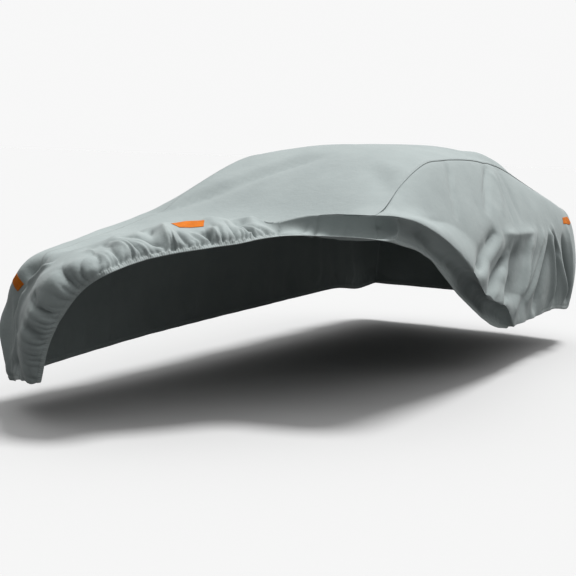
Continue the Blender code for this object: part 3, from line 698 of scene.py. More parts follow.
@dataclass(frozen=True)
class Gathers:
    """Gathers that the elastic draws up square to one run of the hem, merging as they rise."""

    line: ClothPath
    strength: np.ndarray  # at each point of the line
    merging: np.ndarray  # share of the middle and long gathers at each point of the line
    seed: int
    pitch: float = 0.034  # of the finest gathers, at the hem itself
    heights: tuple = (0.0110, 0.0230, 0.0320)  # of the fine, middle and long gathers
    reaches: tuple = (  # from the hem, where each of them starts, is full, fades and ends
        (0.006, 0.022, 0.05, 0.12),
        (0.012, 0.04, 0.09, 0.21),
        (0.03, 0.08, 0.11, 0.29),
    )
    puff: float = 0.022  # how far the gathered cloth stands off all along, over the hem
    puff_reach: tuple = (0.004, 0.055, 0.070, 0.240)
    slant: tuple = (0.75, 0.13)  # how far the gathers lean, and over what length that changes
    drift: tuple = (0.030, 0.085)  # how uneven their pitch is, and over what length
    drift_start: float = 9.0  # reads the drift in another part of the noise than the slant
    lobe_shares: tuple = (0.10, 1.0)  # of the height, for the lowest and the highest gather
    lobe_count: int = 997  # gathers before the shares repeat
    roundness: float = 0.8  # of a gather over its top
    sink: float = 0.4  # how far the cloth between gathers is drawn in

    def height(self, points: np.ndarray) -> tuple[np.ndarray, np.ndarray]:
        """Measures how far the gathers lift the cloth.

        Args:
            points: Points of the cloth without its folds.

        Returns:
            The lift of the gathers at each point, and that of the stand-off.
        """
        gap, place = self.line.nearest(points)
        noise = LatticeNoise(self.seed)
        slant, slant_size = self.slant
        drift, drift_size = self.drift
        leaning = slant * noise.along(place, slant_size) * gap
        drifting = drift * noise.along(place + self.drift_start, drift_size)
        phase = (place + leaning + drifting) / self.pitch
        draws = np.random.default_rng(self.seed + 1)
        lobes = draws.uniform(*self.lobe_shares, (len(self.heights), self.lobe_count))
        merging = np.interp(place, self.line.arc, self.merging)
        lift = np.zeros(points.shape[:-1])
        for level, (tall, reach) in enumerate(zip(self.heights, self.reaches)):
            turn = (phase - 0.5) / 2**level + 0.5
            lobe = lobes[level][np.round(turn).astype(int) % self.lobe_count]
            ridge = np.abs(np.cos(np.pi * turn)) ** self.roundness
            share = band(gap, reach) * (merging if level else 1.0)
            lift += tall * share * (lobe * ridge - self.sink)
        strength = np.interp(place, self.line.arc, self.strength)
        return lift * strength, self.puff * band(gap, self.puff_reach) * strength


@dataclass(frozen=True)
class Creases:
    """Small unevenness of slack cloth: broad billows and small dents."""

    billow: float = 0.0050
    billow_size: float = 0.21
    dent: float = 0.0022
    dent_size: float = 0.085
    stretch: tuple = (1.0, 0.8, 0.55)  # below 1, longer along that axis
    tight: float = 0.18  # slackness where the cloth is drawn over the crown
    slack_under: float = 1.36  # height under which the cloth slackens
    slack_drop: float = 0.45  # over this drop, to 1

    def slack(self, points: np.ndarray) -> np.ndarray:
        """How slack the cloth is, from near 0 where it is drawn over the crown to 1 at its hem."""
        low = ramp((self.slack_under - points[..., 2]) / self.slack_drop)
        return self.tight + (1 - self.tight) * low

    def height(self, points: np.ndarray) -> np.ndarray:
        """Measures how far the unevenness lifts the cloth.

        Args:
            points: Points of the cloth without its folds.

        Returns:
            The lift at each point.
        """
        stretched = points * np.array(self.stretch)
        broad = LatticeNoise(21).at(stretched, self.billow_size)
        small = LatticeNoise(22).at(stretched, self.dent_size)
        return self.slack(points) * (self.billow * broad + self.dent * small)


@dataclass
class HemLine:
    """The whole hem of the cover in runs, with the gathers and the sewn casing of its elastic."""

    casing: float = 0.026  # width of the casing, to its row of stitches
    casing_rise: float = 0.0022
    stitch_dip: float = 0.0020
    stitch_width: float = 0.0045
    fullness: float = 0.7  # of the casing's tube, and less is fuller
    # strength of the gathers and share of the merged ones, at each row of the free edge
    edge_strength: tuple = (0.3, 1.2, 1.3, 1.2, 1.1, 1.2, 1.3, 1.5, 1.4, 0.8, 0.15) + (
        (0.05,) * 3 + (0.1, 0.15, 0.15, 0.1, 0.1)
    )
    edge_merging: tuple = (0.45, 0.5, 0.5, 0.55, 0.75) + (1.0,) * 14
    plain_strength: float = 0.32
    near_strength: float = 0.10
    nose_strength: float = 0.3
    first_seed: int = 40
    seed_step: int = 7  # from one run of the hem to the next
    run_spacing: float = 20.0  # keeps the places along two runs apart
    out_of_reach: float = 9.0

    def runs(self) -> list[tuple[ClothPath, np.ndarray, np.ndarray]]:
        """Draws the hem: its free edge, then the near, far, tail and nose runs.

        Returns:
            Each run as a line, with the strength and the merging of its gathers.
        """
        rows = np.arange(len(self.edge_strength))
        at = np.linspace(0.0, rows[-1], 700)
        free = ClothPath(FORM.edge_rows(at)[0])
        strength = np.interp(at, rows, self.edge_strength)
        found = [(free, strength, np.interp(at, rows, self.edge_merging))]
        station = np.linspace(15.0, FORM.tail_edge, 160)
        near = FORM.side_point(station, np.full(station.shape, HEM_ROW))
        near = near[near[:, 1] > FORM.free_edge[-1][1]]
        station = np.linspace(FORM.nose_edge, FORM.tail_edge, 560)
        far = FORM.side_point(station, np.full(station.shape, HEM_ROW)) * FAR
        x = np.linspace(-0.872, 0.872, 180)
        tail = FORM.top_point(x, np.full(x.shape, float(FORM.tail_hem)))
        x = np.linspace(-0.885, -0.500, 50)
        nose = FORM.top_point(x, np.full(x.shape, 0.0))
        for points, strength in (
            (near, self.near_strength),
            (far, self.plain_strength),
            (tail, self.plain_strength),
            (nose, self.nose_strength),
        ):
            found.append((ClothPath(points), np.full(len(points), strength), np.ones(len(points))))
        return found

    def height(self, points: np.ndarray) -> tuple[np.ndarray, ...]:
        """Measures the hem's part in the cloth.

        Args:
            points: Points of the cloth without its folds.

        Returns:
            How far the gathers and the casing lift it, how far the stand-off of its gathered
            part does, its distance from the hem, and its place along the hem.
        """
        lift = np.zeros(points.shape[:-1])
        puffed = np.zeros(points.shape[:-1])
        nearest = np.full(points.shape[:-1], self.out_of_reach)
        along = np.zeros(points.shape[:-1])
        for index, (line, strength, merging) in enumerate(self.runs()):
            seed = self.first_seed + self.seed_step * index
            drawn, puff = Gathers(line, strength, merging, seed).height(points)
            lift += drawn
            puffed += puff
            gap, place = line.nearest(points)
            along = np.where(gap < nearest, place + self.run_spacing * index, along)
            nearest = np.minimum(nearest, gap)
        tube = np.sin(np.pi * np.clip(nearest / self.casing, 0.0, 1.0)) ** self.fullness
        dip = np.exp(-(((nearest - self.casing) / self.stitch_width) ** 2))
        return lift + self.casing_rise * tube - self.stitch_dip * dip, puffed, nearest, along


# ---------------------------------------------------------------- shaders
class ShaderValue:
    """A shader socket that Python's operators work on."""

    def __init__(self, writer: "ShaderWriter", socket: bpy.types.NodeSocket) -> None:
        """Keeps the socket and the tree that it is in."""
        self.writer = writer
        self.socket = socket

    def maths(self, operation: str, first: object, second: object = None) -> "ShaderValue":
        """Adds a Math node.

        Args:
            operation: What it does.
            first: A value or a ShaderValue.
            second: Another one, where the operation takes two.

        Returns:
            Its result.
        """
        values = {0: first} if second is None else {0: first, 1: second}
        node = self.writer.node("ShaderNodeMath", {"operation": operation}, values)
        return ShaderValue(self.writer, node.outputs[0])

    def __add__(self, other: object) -> "ShaderValue":
        """self + other"""
        return self.maths("ADD", self, other)

    __radd__ = __add__

    def __mul__(self, other: object) -> "ShaderValue":
        """self * other"""
        return self.maths("MULTIPLY", self, other)

    __rmul__ = __mul__

    def __sub__(self, other: object) -> "ShaderValue":
        """self - other"""
        return self.maths("SUBTRACT", self, other)

    def __rsub__(self, other: object) -> "ShaderValue":
        """other - self"""
        return self.maths("SUBTRACT", other, self)

    def sine(self) -> "ShaderValue":
        """The sine of the value."""
        return self.maths("SINE", self)

    def step(self, low: float, high: float) -> "ShaderValue":
        """Makes a soft step of the value.

        Args:
            low: Where the step is 0.
            high: Where it is 1.

        Returns:
            The step.
        """
        settings = {"interpolation_type": "SMOOTHSTEP"}
        node = self.writer.node("ShaderNodeMapRange", settings, {0: self, 1: low, 2: high})
        return ShaderValue(self.writer, node.outputs[0])


class ShaderWriter:
    """Writes the nodes of one material."""

    def __init__(self, name: str) -> None:
        """Starts a material that holds a Principled BSDF alone.

        Args:
            name: The material's name.
        """
        self.material = bpy.data.materials.new(name)
        self.material.use_nodes = True
        self.tree = self.material.node_tree
        self.shader = self.tree.nodes["Principled BSDF"]

    def node(self, kind: str, settings: dict, values: dict) -> bpy.types.Node:
        """Adds a node.

        Args:
            kind: Its type.
            settings: Its own properties, set before its sockets.
            values: A value or a ShaderValue for each socket, by name or number.

        Returns:
            The node.
        """
        made = self.tree.nodes.new(kind)
        for key, value in settings.items():
            setattr(made, key, value)
        for key, value in values.items():
            self.set(made.inputs[key], value)
        return made

    def set(self, socket: bpy.types.NodeSocket, value: object) -> None:
        """Gives a socket a link or a value.

        Args:
            socket: An input of a node.
            value: A ShaderValue to link, or a plain value to set.
        """
        if isinstance(value, ShaderValue):
            self.tree.links.new(value.socket, socket)
        else:
            socket.default_value = value

    def value(self, kind: str, settings: dict, values: dict, output: str | int = 0) -> ShaderValue:
        """Adds a node and returns one of its outputs."""
        return ShaderValue(self, self.node(kind, settings, values).outputs[output])

    def field(self, name: str) -> ShaderValue:
        """A number that the mesh holds at its points."""
        return self.value("ShaderNodeAttribute", {"attribute_name": name}, {}, "Fac")

    def place(self) -> ShaderValue:
        """Object coordinates."""
        return self.value("ShaderNodeTexCoord", {}, {}, "Object")

    def cut(self) -> tuple[ShaderValue, ShaderValue]:
        """Reads the UV map of the cut cloth.

        Returns:
            Metres across and metres along.
        """
        uv = self.value("ShaderNodeUVMap", {"uv_map": "cut"}, {}, "UV")
        parts = self.node("ShaderNodeSeparateXYZ", {}, {0: uv})
        return ShaderValue(self, parts.outputs[0]), ShaderValue(self, parts.outputs[1])

    def noise(
        self, where: ShaderValue, scale: float, detail: float = 3.0, roughness: float = 0.55
    ) -> ShaderValue:
        """Noise from 0 to 1 at the given places."""
        values = {"Vector": where, "Scale": scale, "Detail": detail, "Roughness": roughness}
        return self.value("ShaderNodeTexNoise", {}, values, "Fac")

    def mix(self, share: ShaderValue, first: object, second: object) -> ShaderValue:
        """Mixes two colours; the three sockets used are those of a colour mix."""
        values = {0: share, 6: first, 7: second}
        return self.value("ShaderNodeMix", {"data_type": "RGBA"}, values, 2)

    def bump(
        self, height: ShaderValue, distance: float, strength: float, below: ShaderValue | None
    ) -> ShaderValue:
        """Adds a Bump node.

        Args:
            height: Its height, in shares of the distance.
            distance: The distance, in metres.
            strength: How much of it shows.
            below: The result of the Bump node under it, if there is one.

        Returns:
            The bent normal.
        """
        values = {"Strength": strength, "Distance": distance, "Height": height}
        if below is not None:
            values["Normal"] = below
        return self.value("ShaderNodeBump", {}, values, "Normal")

    def finish(self, **sockets: object) -> bpy.types.Material:
        """Sets sockets of the Principled BSDF.

        Args:
            **sockets: Values or ShaderValues, by name with _ for each space.

        Returns:
            The material.
        """
        for key, value in sockets.items():
            self.set(self.shader.inputs[key.replace("_", " ")], value)
        return self.material


@dataclass(frozen=True)
class ClothFinish:
    """Layered cover cloth: matte light grey with a faint fine weave and small crumples, with
    painted shade in its fold troughs and along its seams, and a painted highlight on its fold
    ridges and hem casing.
    """

    light: tuple = (0.240, 0.273, 0.270, 1.0)
    dark: tuple = (0.212, 0.243, 0.241, 1.0)
    # painted highlight, for the fold ridges and the lit lip of the hem casing
    painted_highlight: tuple = (0.300, 0.332, 0.326, 1.0)
    # painted shade, for the seams and the fold troughs
    painted_shade: tuple = (0.070, 0.084, 0.084, 1.0)
    thread_pitch: float = 0.0016
    pucker_pitch: float = 0.013  # of the casing, along the hem
    casing: tuple = (0.020, 0.030)  # the casing ends between these distances from the hem
    seam: tuple = (0.0050, 0.0010)  # painted shade along a seam deepens between these distances from it
    trough: tuple = (-0.002, -0.024)  # lifts of the cloth between which painted shade darkens a trough
    ridge: tuple = (0.004, 0.030)  # and between which a painted highlight pales a ridge

    def material(self) -> bpy.types.Material:
        """Writes the finish.

        Returns:
            The material.
        """
        w = ShaderWriter("grey_cloth_finish")
        place = w.place()
        across, along = w.cut()
        patchy = w.noise(place, 3.1, 4.0, 0.6)
        speck = w.noise(place, 240.0, 2.0, 0.6)
        tone = w.mix((patchy * 0.75 + speck * 0.25).step(0.32, 0.68), self.dark, self.light)
        edge = 1 - w.field("hem_gap").step(*self.casing)
        # painted highlight: a paler strip along the hem casing, for its lit lip
        tone = w.mix(edge * 0.35, tone, self.painted_highlight)
        # painted shade: darker along each seam
        tone = w.mix(w.field("seam_gap").step(*self.seam) * 0.12, tone, self.painted_shade)
        # painted shade: darker in the fold troughs
        tone = w.mix(w.field("fold").step(*self.trough) * 0.55, tone, self.painted_shade)
        # painted highlight: paler on the fold ridges
        tone = w.mix(w.field("fold").step(*self.ridge) * 0.25, tone, self.painted_highlight)
        turn = math.tau / self.thread_pitch
        weave = (across * turn).sine() * (along * turn).sine()
        soft = w.noise(place, 17.0, 4.0, 0.62)
        crumple = w.noise(place, 62.0, 3.0, 0.6)
        pucker = (w.field("hem_arc") * (math.tau / self.pucker_pitch)).sine() * edge
        normal = w.bump(soft, 0.0036, 0.8, None)
        normal = w.bump(crumple, 0.0016, 0.7, normal)
        normal = w.bump(pucker, 0.0011, 0.6, normal)
        normal = w.bump(weave * 0.5 + speck, 0.00022, 0.5, normal)
        return w.finish(
            Base_Color=tone,
            Roughness=0.80 + patchy * 0.10 - speck * 0.06,
            Normal=normal,
            Metallic=0.0,
            Specular_IOR_Level=0.32,
            Sheen_Weight=0.10,
            Sheen_Roughness=0.5,
        )


@dataclass(frozen=True)
class ReflectorFinish:
    """Orange reflective sheeting with a fine honeycomb of sealed cells."""

    cell: float = 0.0042
    bright: tuple = (0.47, 0.120, 0.004, 1.0)
    deep: tuple = (0.40, 0.098, 0.003, 1.0)
    ribbed: tuple = (0.50, 0.140, 0.006, 1.0)

    def material(self) -> bpy.types.Material:
        """Writes the finish.

        Returns:
            The material.
        """
        w = ShaderWriter("orange_reflector_finish")
        place = w.place()
        settings = {"feature": "DISTANCE_TO_EDGE"}
        values = {"Vector": place, "Scale": 1 / self.cell, "Randomness": 0.18}
        rib = 1 - w.value("ShaderNodeTexVoronoi", settings, values, "Distance").step(0.03, 0.14)
        cloudy = w.noise(place, 26.0, 3.0, 0.55)
        tone = w.mix(cloudy.step(0.35, 0.7), self.deep, self.bright)
        tone = w.mix(rib * 0.45, tone, self.ribbed)
        normal = w.bump(rib, 0.0004, 0.6, None)
        normal = w.bump(cloudy, 0.0040, 0.5, normal)
        return w.finish(
            Base_Color=tone,
            Roughness=0.40 + rib * 0.20,
            Normal=normal,
            Metallic=0.0,
            Specular_IOR_Level=0.04,
        )


@dataclass(frozen=True)
class ThreadFinish:
    """Sewing thread, a little paler than the cloth, with a faint twist."""

    colour: tuple = (0.33, 0.36, 0.355, 1.0)
    shade: tuple = (0.24, 0.265, 0.26, 1.0)

    def material(self) -> bpy.types.Material:
        """Writes the finish.

        Returns:
            The material.
        """
        w = ShaderWriter("thread_finish")
        fuzz = w.noise(w.place(), 900.0, 2.0, 0.6)
        return w.finish(
            Base_Color=w.mix(fuzz.step(0.3, 0.7), self.shade, self.colour),
            Roughness=0.62 + fuzz * 0.15,
            Normal=w.bump(fuzz, 0.0003, 0.6, None),
            Sheen_Weight=0.2,
        )


# ---------------------------------------------------------------- meshes
@dataclass
class ClothMesh:
    """Points and faces of one layer of cloth, with what its finish reads at each point."""

    points: np.ndarray
    faces: np.ndarray
    cut: np.ndarray
    fields: dict[str, np.ndarray]

    def faced_out(self) -> np.ndarray:
        """The faces, all turned outwards."""
        side = facings(self.points, self.faces)[1]
        return self.faces[:, ::-1] if side < 0 else self.faces

    def mesh(self, name: str) -> bpy.types.Mesh:
        """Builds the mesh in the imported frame.

        Args:
            name: Its name.

        Returns:
            The mesh, with the UV map and the fields that the finish reads.
        """
        made = bpy.data.meshes.new(name)
        made.from_pydata((self.points - ROW_ORIGIN).tolist(), [], self.faced_out().tolist())
        made.shade_smooth()
        corners = np.empty(len(made.loops), int)
        made.loops.foreach_get("vertex_index", corners)
        made.uv_layers.new(name="cut").data.foreach_set("uv", self.cut[corners].ravel())
        for key, values in self.fields.items():
            made.attributes.new(key, "FLOAT", "POINT").data.foreach_set("value", values.ravel())
        return made


def grid_faces(index: np.ndarray) -> np.ndarray:
    """Faces between the rows and columns of a table of point numbers."""
    quads = (index[:-1, :-1], index[1:, :-1], index[1:, 1:], index[:-1, 1:])
    return np.stack(quads, axis=-1).reshape(-1, 4)


def point_numbers(grid: np.ndarray, first: int = 0) -> np.ndarray:
    """The numbers of a grid's points, row by row."""
    return first + np.arange(grid[..., 0].size).reshape(grid.shape[:2])


def put_in_scene(name: str, data: bpy.types.ID) -> bpy.types.Object:
    """Makes an object at the origin and links it into the scene.

    Args:
        name: Its name.
        data: Its mesh, camera or light.

    Returns:
        The object.
    """
    made = bpy.data.objects.new(name, data)
    bpy.context.scene.collection.objects.link(made)
    return made


def give_wall(piece: bpy.types.Object, thickness: float) -> bpy.types.Modifier:
    """Thickens an open piece by half on each side.

    Args:
        piece: The piece.
        thickness: Its whole thickness.

    Returns:
        The modifier.
    """
    wall = piece.modifiers.new("thickness", "SOLIDIFY")
    wall.thickness = thickness
    wall.offset = 0.0
    return wall


def facings(points: np.ndarray, faces: np.ndarray) -> tuple[np.ndarray, float]:
    """Measures which way faces look.

    Args:
        points: The points of a surface.
        faces: Its four-sided faces.

    Returns:
        A vector square to each face, and 1 where on the whole they look outwards, or else -1.
    """
    corners = points[faces]
    facing = np.cross(corners[:, 2] - corners[:, 0], corners[:, 3] - corners[:, 1])
    return facing, float(np.sign((facing * FORM.outward(corners.mean(axis=1))).sum()))


def surface_normals(points: np.ndarray, faces: np.ndarray) -> np.ndarray:
    """Directions square to a surface at each of its points, towards the outside of the cover.

    Args:
        points: Its points.
        faces: Its four-sided faces.

    Returns:
        One unit vector for each point.
    """
    facing, side = facings(points, faces)
    total = np.zeros_like(points)
    for corner in faces.T:
        np.add.at(total, corner, facing * side)
    return unit(total)


def cut_lengths(grid: np.ndarray) -> np.ndarray:
    """Measures a grid of points as cut cloth.

    Args:
        grid: Rows of points.

    Returns:
        Metres across and along for each point, as a UV map.
    """
    across = np.linalg.norm(np.diff(grid, axis=1), axis=-1).cumsum(axis=1)
    across = np.concatenate([np.zeros((len(grid), 1)), across], axis=1)
    along = np.linalg.norm(np.diff(grid, axis=0), axis=-1).mean(axis=1).cumsum()
    along = np.broadcast_to(np.concatenate([[0.0], along])[:, None], across.shape)
    return np.stack([across - across[:, :1], along], axis=-1)


@dataclass
class Seams:
    """The long sewn seams between the panels, where one edge laps over the other."""

    overlap: float = 0.004
    rise: float = 0.0011  # of the upper edge, and fall of the lower one
    ridge: float = 0.0020  # of the turned seam allowance beside the edge
    ridge_gap: float = 0.013
    ridge_width: float = 0.007
    dip: float = 0.0018  # of the lower panel beside the edge
    dip_width: float = 0.009
    lap: float = 0.004  # distance to which the panels lie fully one over the other
    lap_fade: float = 0.020  # and over which they come level again

    def lines(self) -> list[ClothPath]:
        """Draws the seams.

        Returns:
            The near seam with its tail corner, and the far seam with both corners.
        """
        near = FORM.near_seam(np.linspace(FORM.seam_station, FORM.tail_hem, 500))
        far = FORM.seam_point(np.linspace(0.0, FORM.tail_hem, 720)) * FAR
        return [ClothPath(near), ClothPath(far)]

    def gap(self, points: np.ndarray) -> np.ndarray:
        """Distance of each point from the nearest seam."""
        return np.minimum(*(line.nearest(points)[0] for line in self.lines()))

    def height(self, gap: np.ndarray, lap: Lap) -> np.ndarray:
        """Measures how far a seam lifts the cloth.

        Args:
            gap: Distances from the seam.
            lap: Which way the panel's edge lies at it.

        Returns:
            The lift at each distance.
        """
        near = 1 - ramp((gap - self.lap) / self.lap_fade)
        if lap is Lap.UNDER:
            return -self.rise * near - self.dip * np.exp(-((gap / self.dip_width) ** 2))
        turned = np.exp(-(((gap - self.ridge_gap) / self.ridge_width) ** 2))
        return self.rise * near + self.ridge * turned


@dataclass
class Panel:
    """One panel of cloth: where its points lie, its folds, and the piece made of them."""

    name: str = "cover_panel"
    node: str = ""
    lap: Lap = Lap.UNDER
    flat: tuple = (1.0, 1.0)  # width and length of the cloth that it was cut from
    area: float = 1.0  # of the cut, in square metres
    cloth: float = 0.0010
    casing_cloth: float = 0.0030  # thickness of the hem with its elastic
    seam_steps: tuple = (0.0, 0.004, 0.009, 0.015, 0.023, 0.034)
    hem_steps: tuple = (0.0, 0.005, 0.010, 0.016, 0.021, 0.026, 0.032, 0.040, 0.050, 0.063, 0.078)
    casing_ends: tuple = (0.016, 0.008)  # where the thick casing ends, and over what distance
    hem: HemLine = field(default_factory=HemLine)
    seams: Seams = field(default_factory=Seams)
    stitch_lines: list = field(default_factory=list)  # point numbers of its rows of stitches
    folds: MainFolds = field(default_factory=MainFolds)
    drawn: DrawnCreases = field(default_factory=DrawnCreases)
    creases: Creases = field(default_factory=Creases)
    hem_hold: tuple = (0.35, 0.14)  # share of the folds left at the hem, and how far in it reaches
    seam_turn: float = 0.10  # beside a seam the cloth is moved straight out, as both panels are
    # x, y, z and radius where a patch holds the cloth flat, and how much it does
    flat_spots: tuple = ((-0.065, 0.768, 1.045, 0.125), (-0.845, 0.29, 0.705, 0.09))
    flat_share: float = 0.9

    def dressed(
        self, points: np.ndarray, faces: np.ndarray
    ) -> tuple[np.ndarray, dict[str, np.ndarray]]:
        """Adds every fold, gather and seam to smooth points.

        Args:
            points: Points of the panel's smooth form.
            faces: Its faces.

        Returns:
            The points in their folds, and the fields that the finish reads.
        """
        hem_lift, puff, hem_gap, hem_arc = self.hem.height(points)
        seam_gap = self.seams.gap(points)
        left, reach = self.hem_hold
        held = left + (1 - left) * ramp(hem_gap / reach)
        broad = self.folds.height(points) * held
        sharp = (self.drawn.height(points) + self.creases.height(points)) * held + hem_lift
        for x, y, z, radius in self.flat_spots:
            away = np.linalg.norm(points - (x, y, z), axis=-1) / radius
            left = 1 - self.flat_share * np.exp(-(away**4))
            broad *= left
            sharp *= left
        lift = broad + sharp + puff + self.seams.height(seam_gap, self.lap)
        clear = ramp(seam_gap / self.seam_turn)[..., None]
        way = unit(FORM.outward(points) * (1 - clear) + surface_normals(points, faces) * clear)
        fields = {"hem_gap": hem_gap, "hem_arc": hem_arc, "seam_gap": seam_gap, "fold": sharp}
        return points + way * lift[..., None], fields

    def layer(self) -> ClothMesh:
        """The panel's one layer of cloth."""
        raise NotImplementedError

    def of_grid(self, grid: np.ndarray) -> tuple[ClothMesh, np.ndarray]:
        """Dresses a panel that is one grid of points.

        Args:
            grid: Rows of points of its smooth form.

        Returns:
            The layer of cloth, and the numbers of its points.
        """
        index = point_numbers(grid)
        faces = grid_faces(index)
        points, fields = self.dressed(grid.reshape(-1, 3), faces)
        return ClothMesh(points, faces, cut_lengths(grid).reshape(-1, 2), fields), index

    def thicken(self, piece: bpy.types.Object, hem_gap: np.ndarray) -> None:
        """Gives the cloth its thickness, more at the hem's casing.

        Args:
            piece: The panel's piece.
            hem_gap: Distance of each of its points from the hem.
        """
        group = piece.vertex_groups.new(name="thick")
        share = self.cloth / self.casing_cloth
        start, width = self.casing_ends
        weight = share + (1 - share) * (1 - ramp((hem_gap.ravel() - start) / width))
        weight = np.round(weight, 2)
        for level in np.unique(weight):
            group.add(np.flatnonzero(weight == level).tolist(), float(level), "REPLACE")
        wall = give_wall(piece, self.casing_cloth)
        wall.vertex_group = "thick"
        wall.use_rim = True

    def build(self, finish: bpy.types.Material) -> tuple[bpy.types.Object, ClothMesh]:
        """Builds and dresses the piece.

        Args:
            finish: Its material.

        Returns:
            The piece, and the layer of cloth that it was made of.
        """
        layer = self.layer()
        piece = put_in_scene(self.name, layer.mesh(self.name))
        piece.data.materials.append(finish)
        self.thicken(piece, layer.fields["hem_gap"])
        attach(piece, "root")
        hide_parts(self.node)
        LOG.info("%s: %d points", self.name, len(layer.points))
        return piece, layer


@dataclass
class TopPanel(Panel):
    """The panel from the nose over the crown to the tail, with the rolled hem of the hood."""

    name: str = "cover_top"
    node: str = "top_panel"
    lap: Lap = Lap.OVER
    flat: tuple = (1.75, 6.60)
    area: float = 8.6
    nose_rows: int = 130
    hood_rows: int = 300
    body_rows: int = 110
    tail_rows: int = 36
    columns: int = 60
    roll_columns: int = 30
    lean: float = 1.35
    body_grade: float = 1.4
    settle: float = 0.45  # how far in from its crest the rolled hem lifts the cloth
    edge_gather: float = 0.012
    edge_reach: float = 0.30
    edge_pitch: float = 1.15
    nose_length: float = 0.90  # of the cloth from the nose hem to the end of the corner seam
    tail_length: float = 0.80
    nose_edge_row: float = 4.2  # row of the free edge beside the end of the corner seam

    def rows(self) -> tuple[np.ndarray, np.ndarray]:
        """Spaces the rows of points out from the nose hem to the tail hem.

        Returns:
            Stations of the far seam for every row, and places on the free edge for the first ones.
        """
        nose = graded([self.nose_length], self.hem_steps, (0.0,), self.nose_rows)[0]
        hood = np.linspace(0.0, 1.0, self.hood_rows + 1)[1:]
        body = eased(self.body_rows, self.body_grade)[1:]
        tail = graded([self.tail_length], (0.0,), self.hem_steps, self.tail_rows + 1)[0][1:]
        start = FORM.seam_station
        stations = (
            FORM.nose_edge * nose,
            FORM.nose_edge + (start - FORM.nose_edge) * hood,
            start + (FORM.tail_edge - start) * body,
            FORM.tail_edge + (FORM.tail_hem - FORM.tail_edge) * tail,
        )
        row = self.nose_edge_row
        edge = np.concatenate([row * nose, row + (FORM.seam_row - row) * hood])
        return np.concatenate(stations), edge

    def gathered(
        self, points: np.ndarray, edge: np.ndarray, from_edge: np.ndarray, from_seam: np.ndarray
    ) -> np.ndarray:
        """Points drawn up in the long gathers beside the free edge, as the solids have them.

        Args:
            points: Rows of points.
            edge: Place of each row on the free edge.
            from_edge: Distance of each point from the hem.
            from_seam: Distance of each point from the far seam.

        Returns:
            The moved points.
        """
        wave = np.sin(2 * np.pi * edge / self.edge_pitch + 0.9 * np.sin(edge * 2.1))
        calm = 1 - ramp((edge - 8.0) / 1.5)
        rise = ramp(from_edge / 0.05) * (1 - ramp(from_edge / self.edge_reach))
        lift = self.edge_gather * (wave * calm)[:, None] * rise * ramp(from_seam / 0.15)
        return points + FORM.outward(points) * lift[..., None]

    def smooth(self) -> tuple[np.ndarray, np.ndarray]:
        """Lays out the panel in its smooth form and its long gathers.

        Returns:
            Rows of points of the main part, and of the rolled hem on its first rows.
        """
        far, edge = self.rows()
        after = far[len(edge) :]
        crest = FORM.edge_rows(edge)[1]
        near_station = np.array([FORM.nearest_station(point) for point in crest])
        near_station = evened(np.concatenate([near_station, after]), len(edge))
        near = np.concatenate([crest, FORM.near_seam(after)])
        start = FORM.seam_point(far) * FAR
        width = np.linalg.norm(near - start, axis=1)
        part = graded(width, self.seam_steps, self.seam_steps, self.columns, self.lean)
        x = start[:, :1] + (near[:, :1] - start[:, :1]) * part
        station = far[:, None] + (near_station - far)[:, None] * ramp(part)
        form = FORM.top_point(x, station)
        lift = near - form[:, -1]
        chord = np.linalg.norm(form[:, -1] - form[:, 0], axis=1)[:, None]
        settle = 1 - ramp((1 - part) * chord / np.minimum(chord, self.settle))
        main = form + lift[:, None] * settle[..., None]
        hem, _, _ = FORM.edge_rows(edge)
        width = np.linalg.norm(hem - crest, axis=1)
        roll = FORM.rolled(edge, graded(width, (0.0,), self.hem_steps, self.roll_columns))
        fore = main[: len(edge)].copy()
        from_hem = np.linalg.norm(roll - roll[:, -1:], axis=-1)
        from_crest = np.linalg.norm(fore - crest[:, None], axis=-1)
        from_seam = np.linalg.norm(fore - fore[:, :1], axis=-1)
        main[: len(edge)] = self.gathered(fore, edge, from_crest + from_hem[:, :1], from_seam)
        roll = self.gathered(roll, edge, from_hem, from_seam[:, -1:])
        return main, roll

    def layer(self) -> ClothMesh:
        """Dresses the panel, its rolled hem joined on along the crest.

        Returns:
            Its one layer of cloth.
        """
        main, roll = self.smooth()
        fore = len(roll)
        cut = cut_lengths(main)
        roll_cut = cut_lengths(roll)
        roll_cut[..., 0] += cut[:fore, -1:, 0]
        points = np.concatenate([main.reshape(-1, 3), roll[:, 1:].reshape(-1, 3)])
        cut = np.concatenate([cut.reshape(-1, 2), roll_cut[:, 1:].reshape(-1, 2)])
        index = point_numbers(main)
        over = point_numbers(roll[:, 1:], index.size)
        over = np.concatenate([index[:fore, -1:], over], axis=1)
        faces = np.concatenate([grid_faces(index), grid_faces(over)])
        dressed, fields = self.dressed(points, faces)
        for inner, edge in ((index[:, 2], index[:, 0]), (index[fore:, -3], index[fore:, -1])):
            dressed[edge] += unit(dressed[edge] - dressed[inner]) * self.seams.overlap
        row = self.hem_steps.index(self.hem.casing)
        self.stitch_lines = [
            index[:, 2],
            index[fore - 1 :, -3],
            over[row:, -1 - row],
            index[row, :],
            index[-1 - row, :],
        ]
        return ClothMesh(dressed, faces, cut, fields)


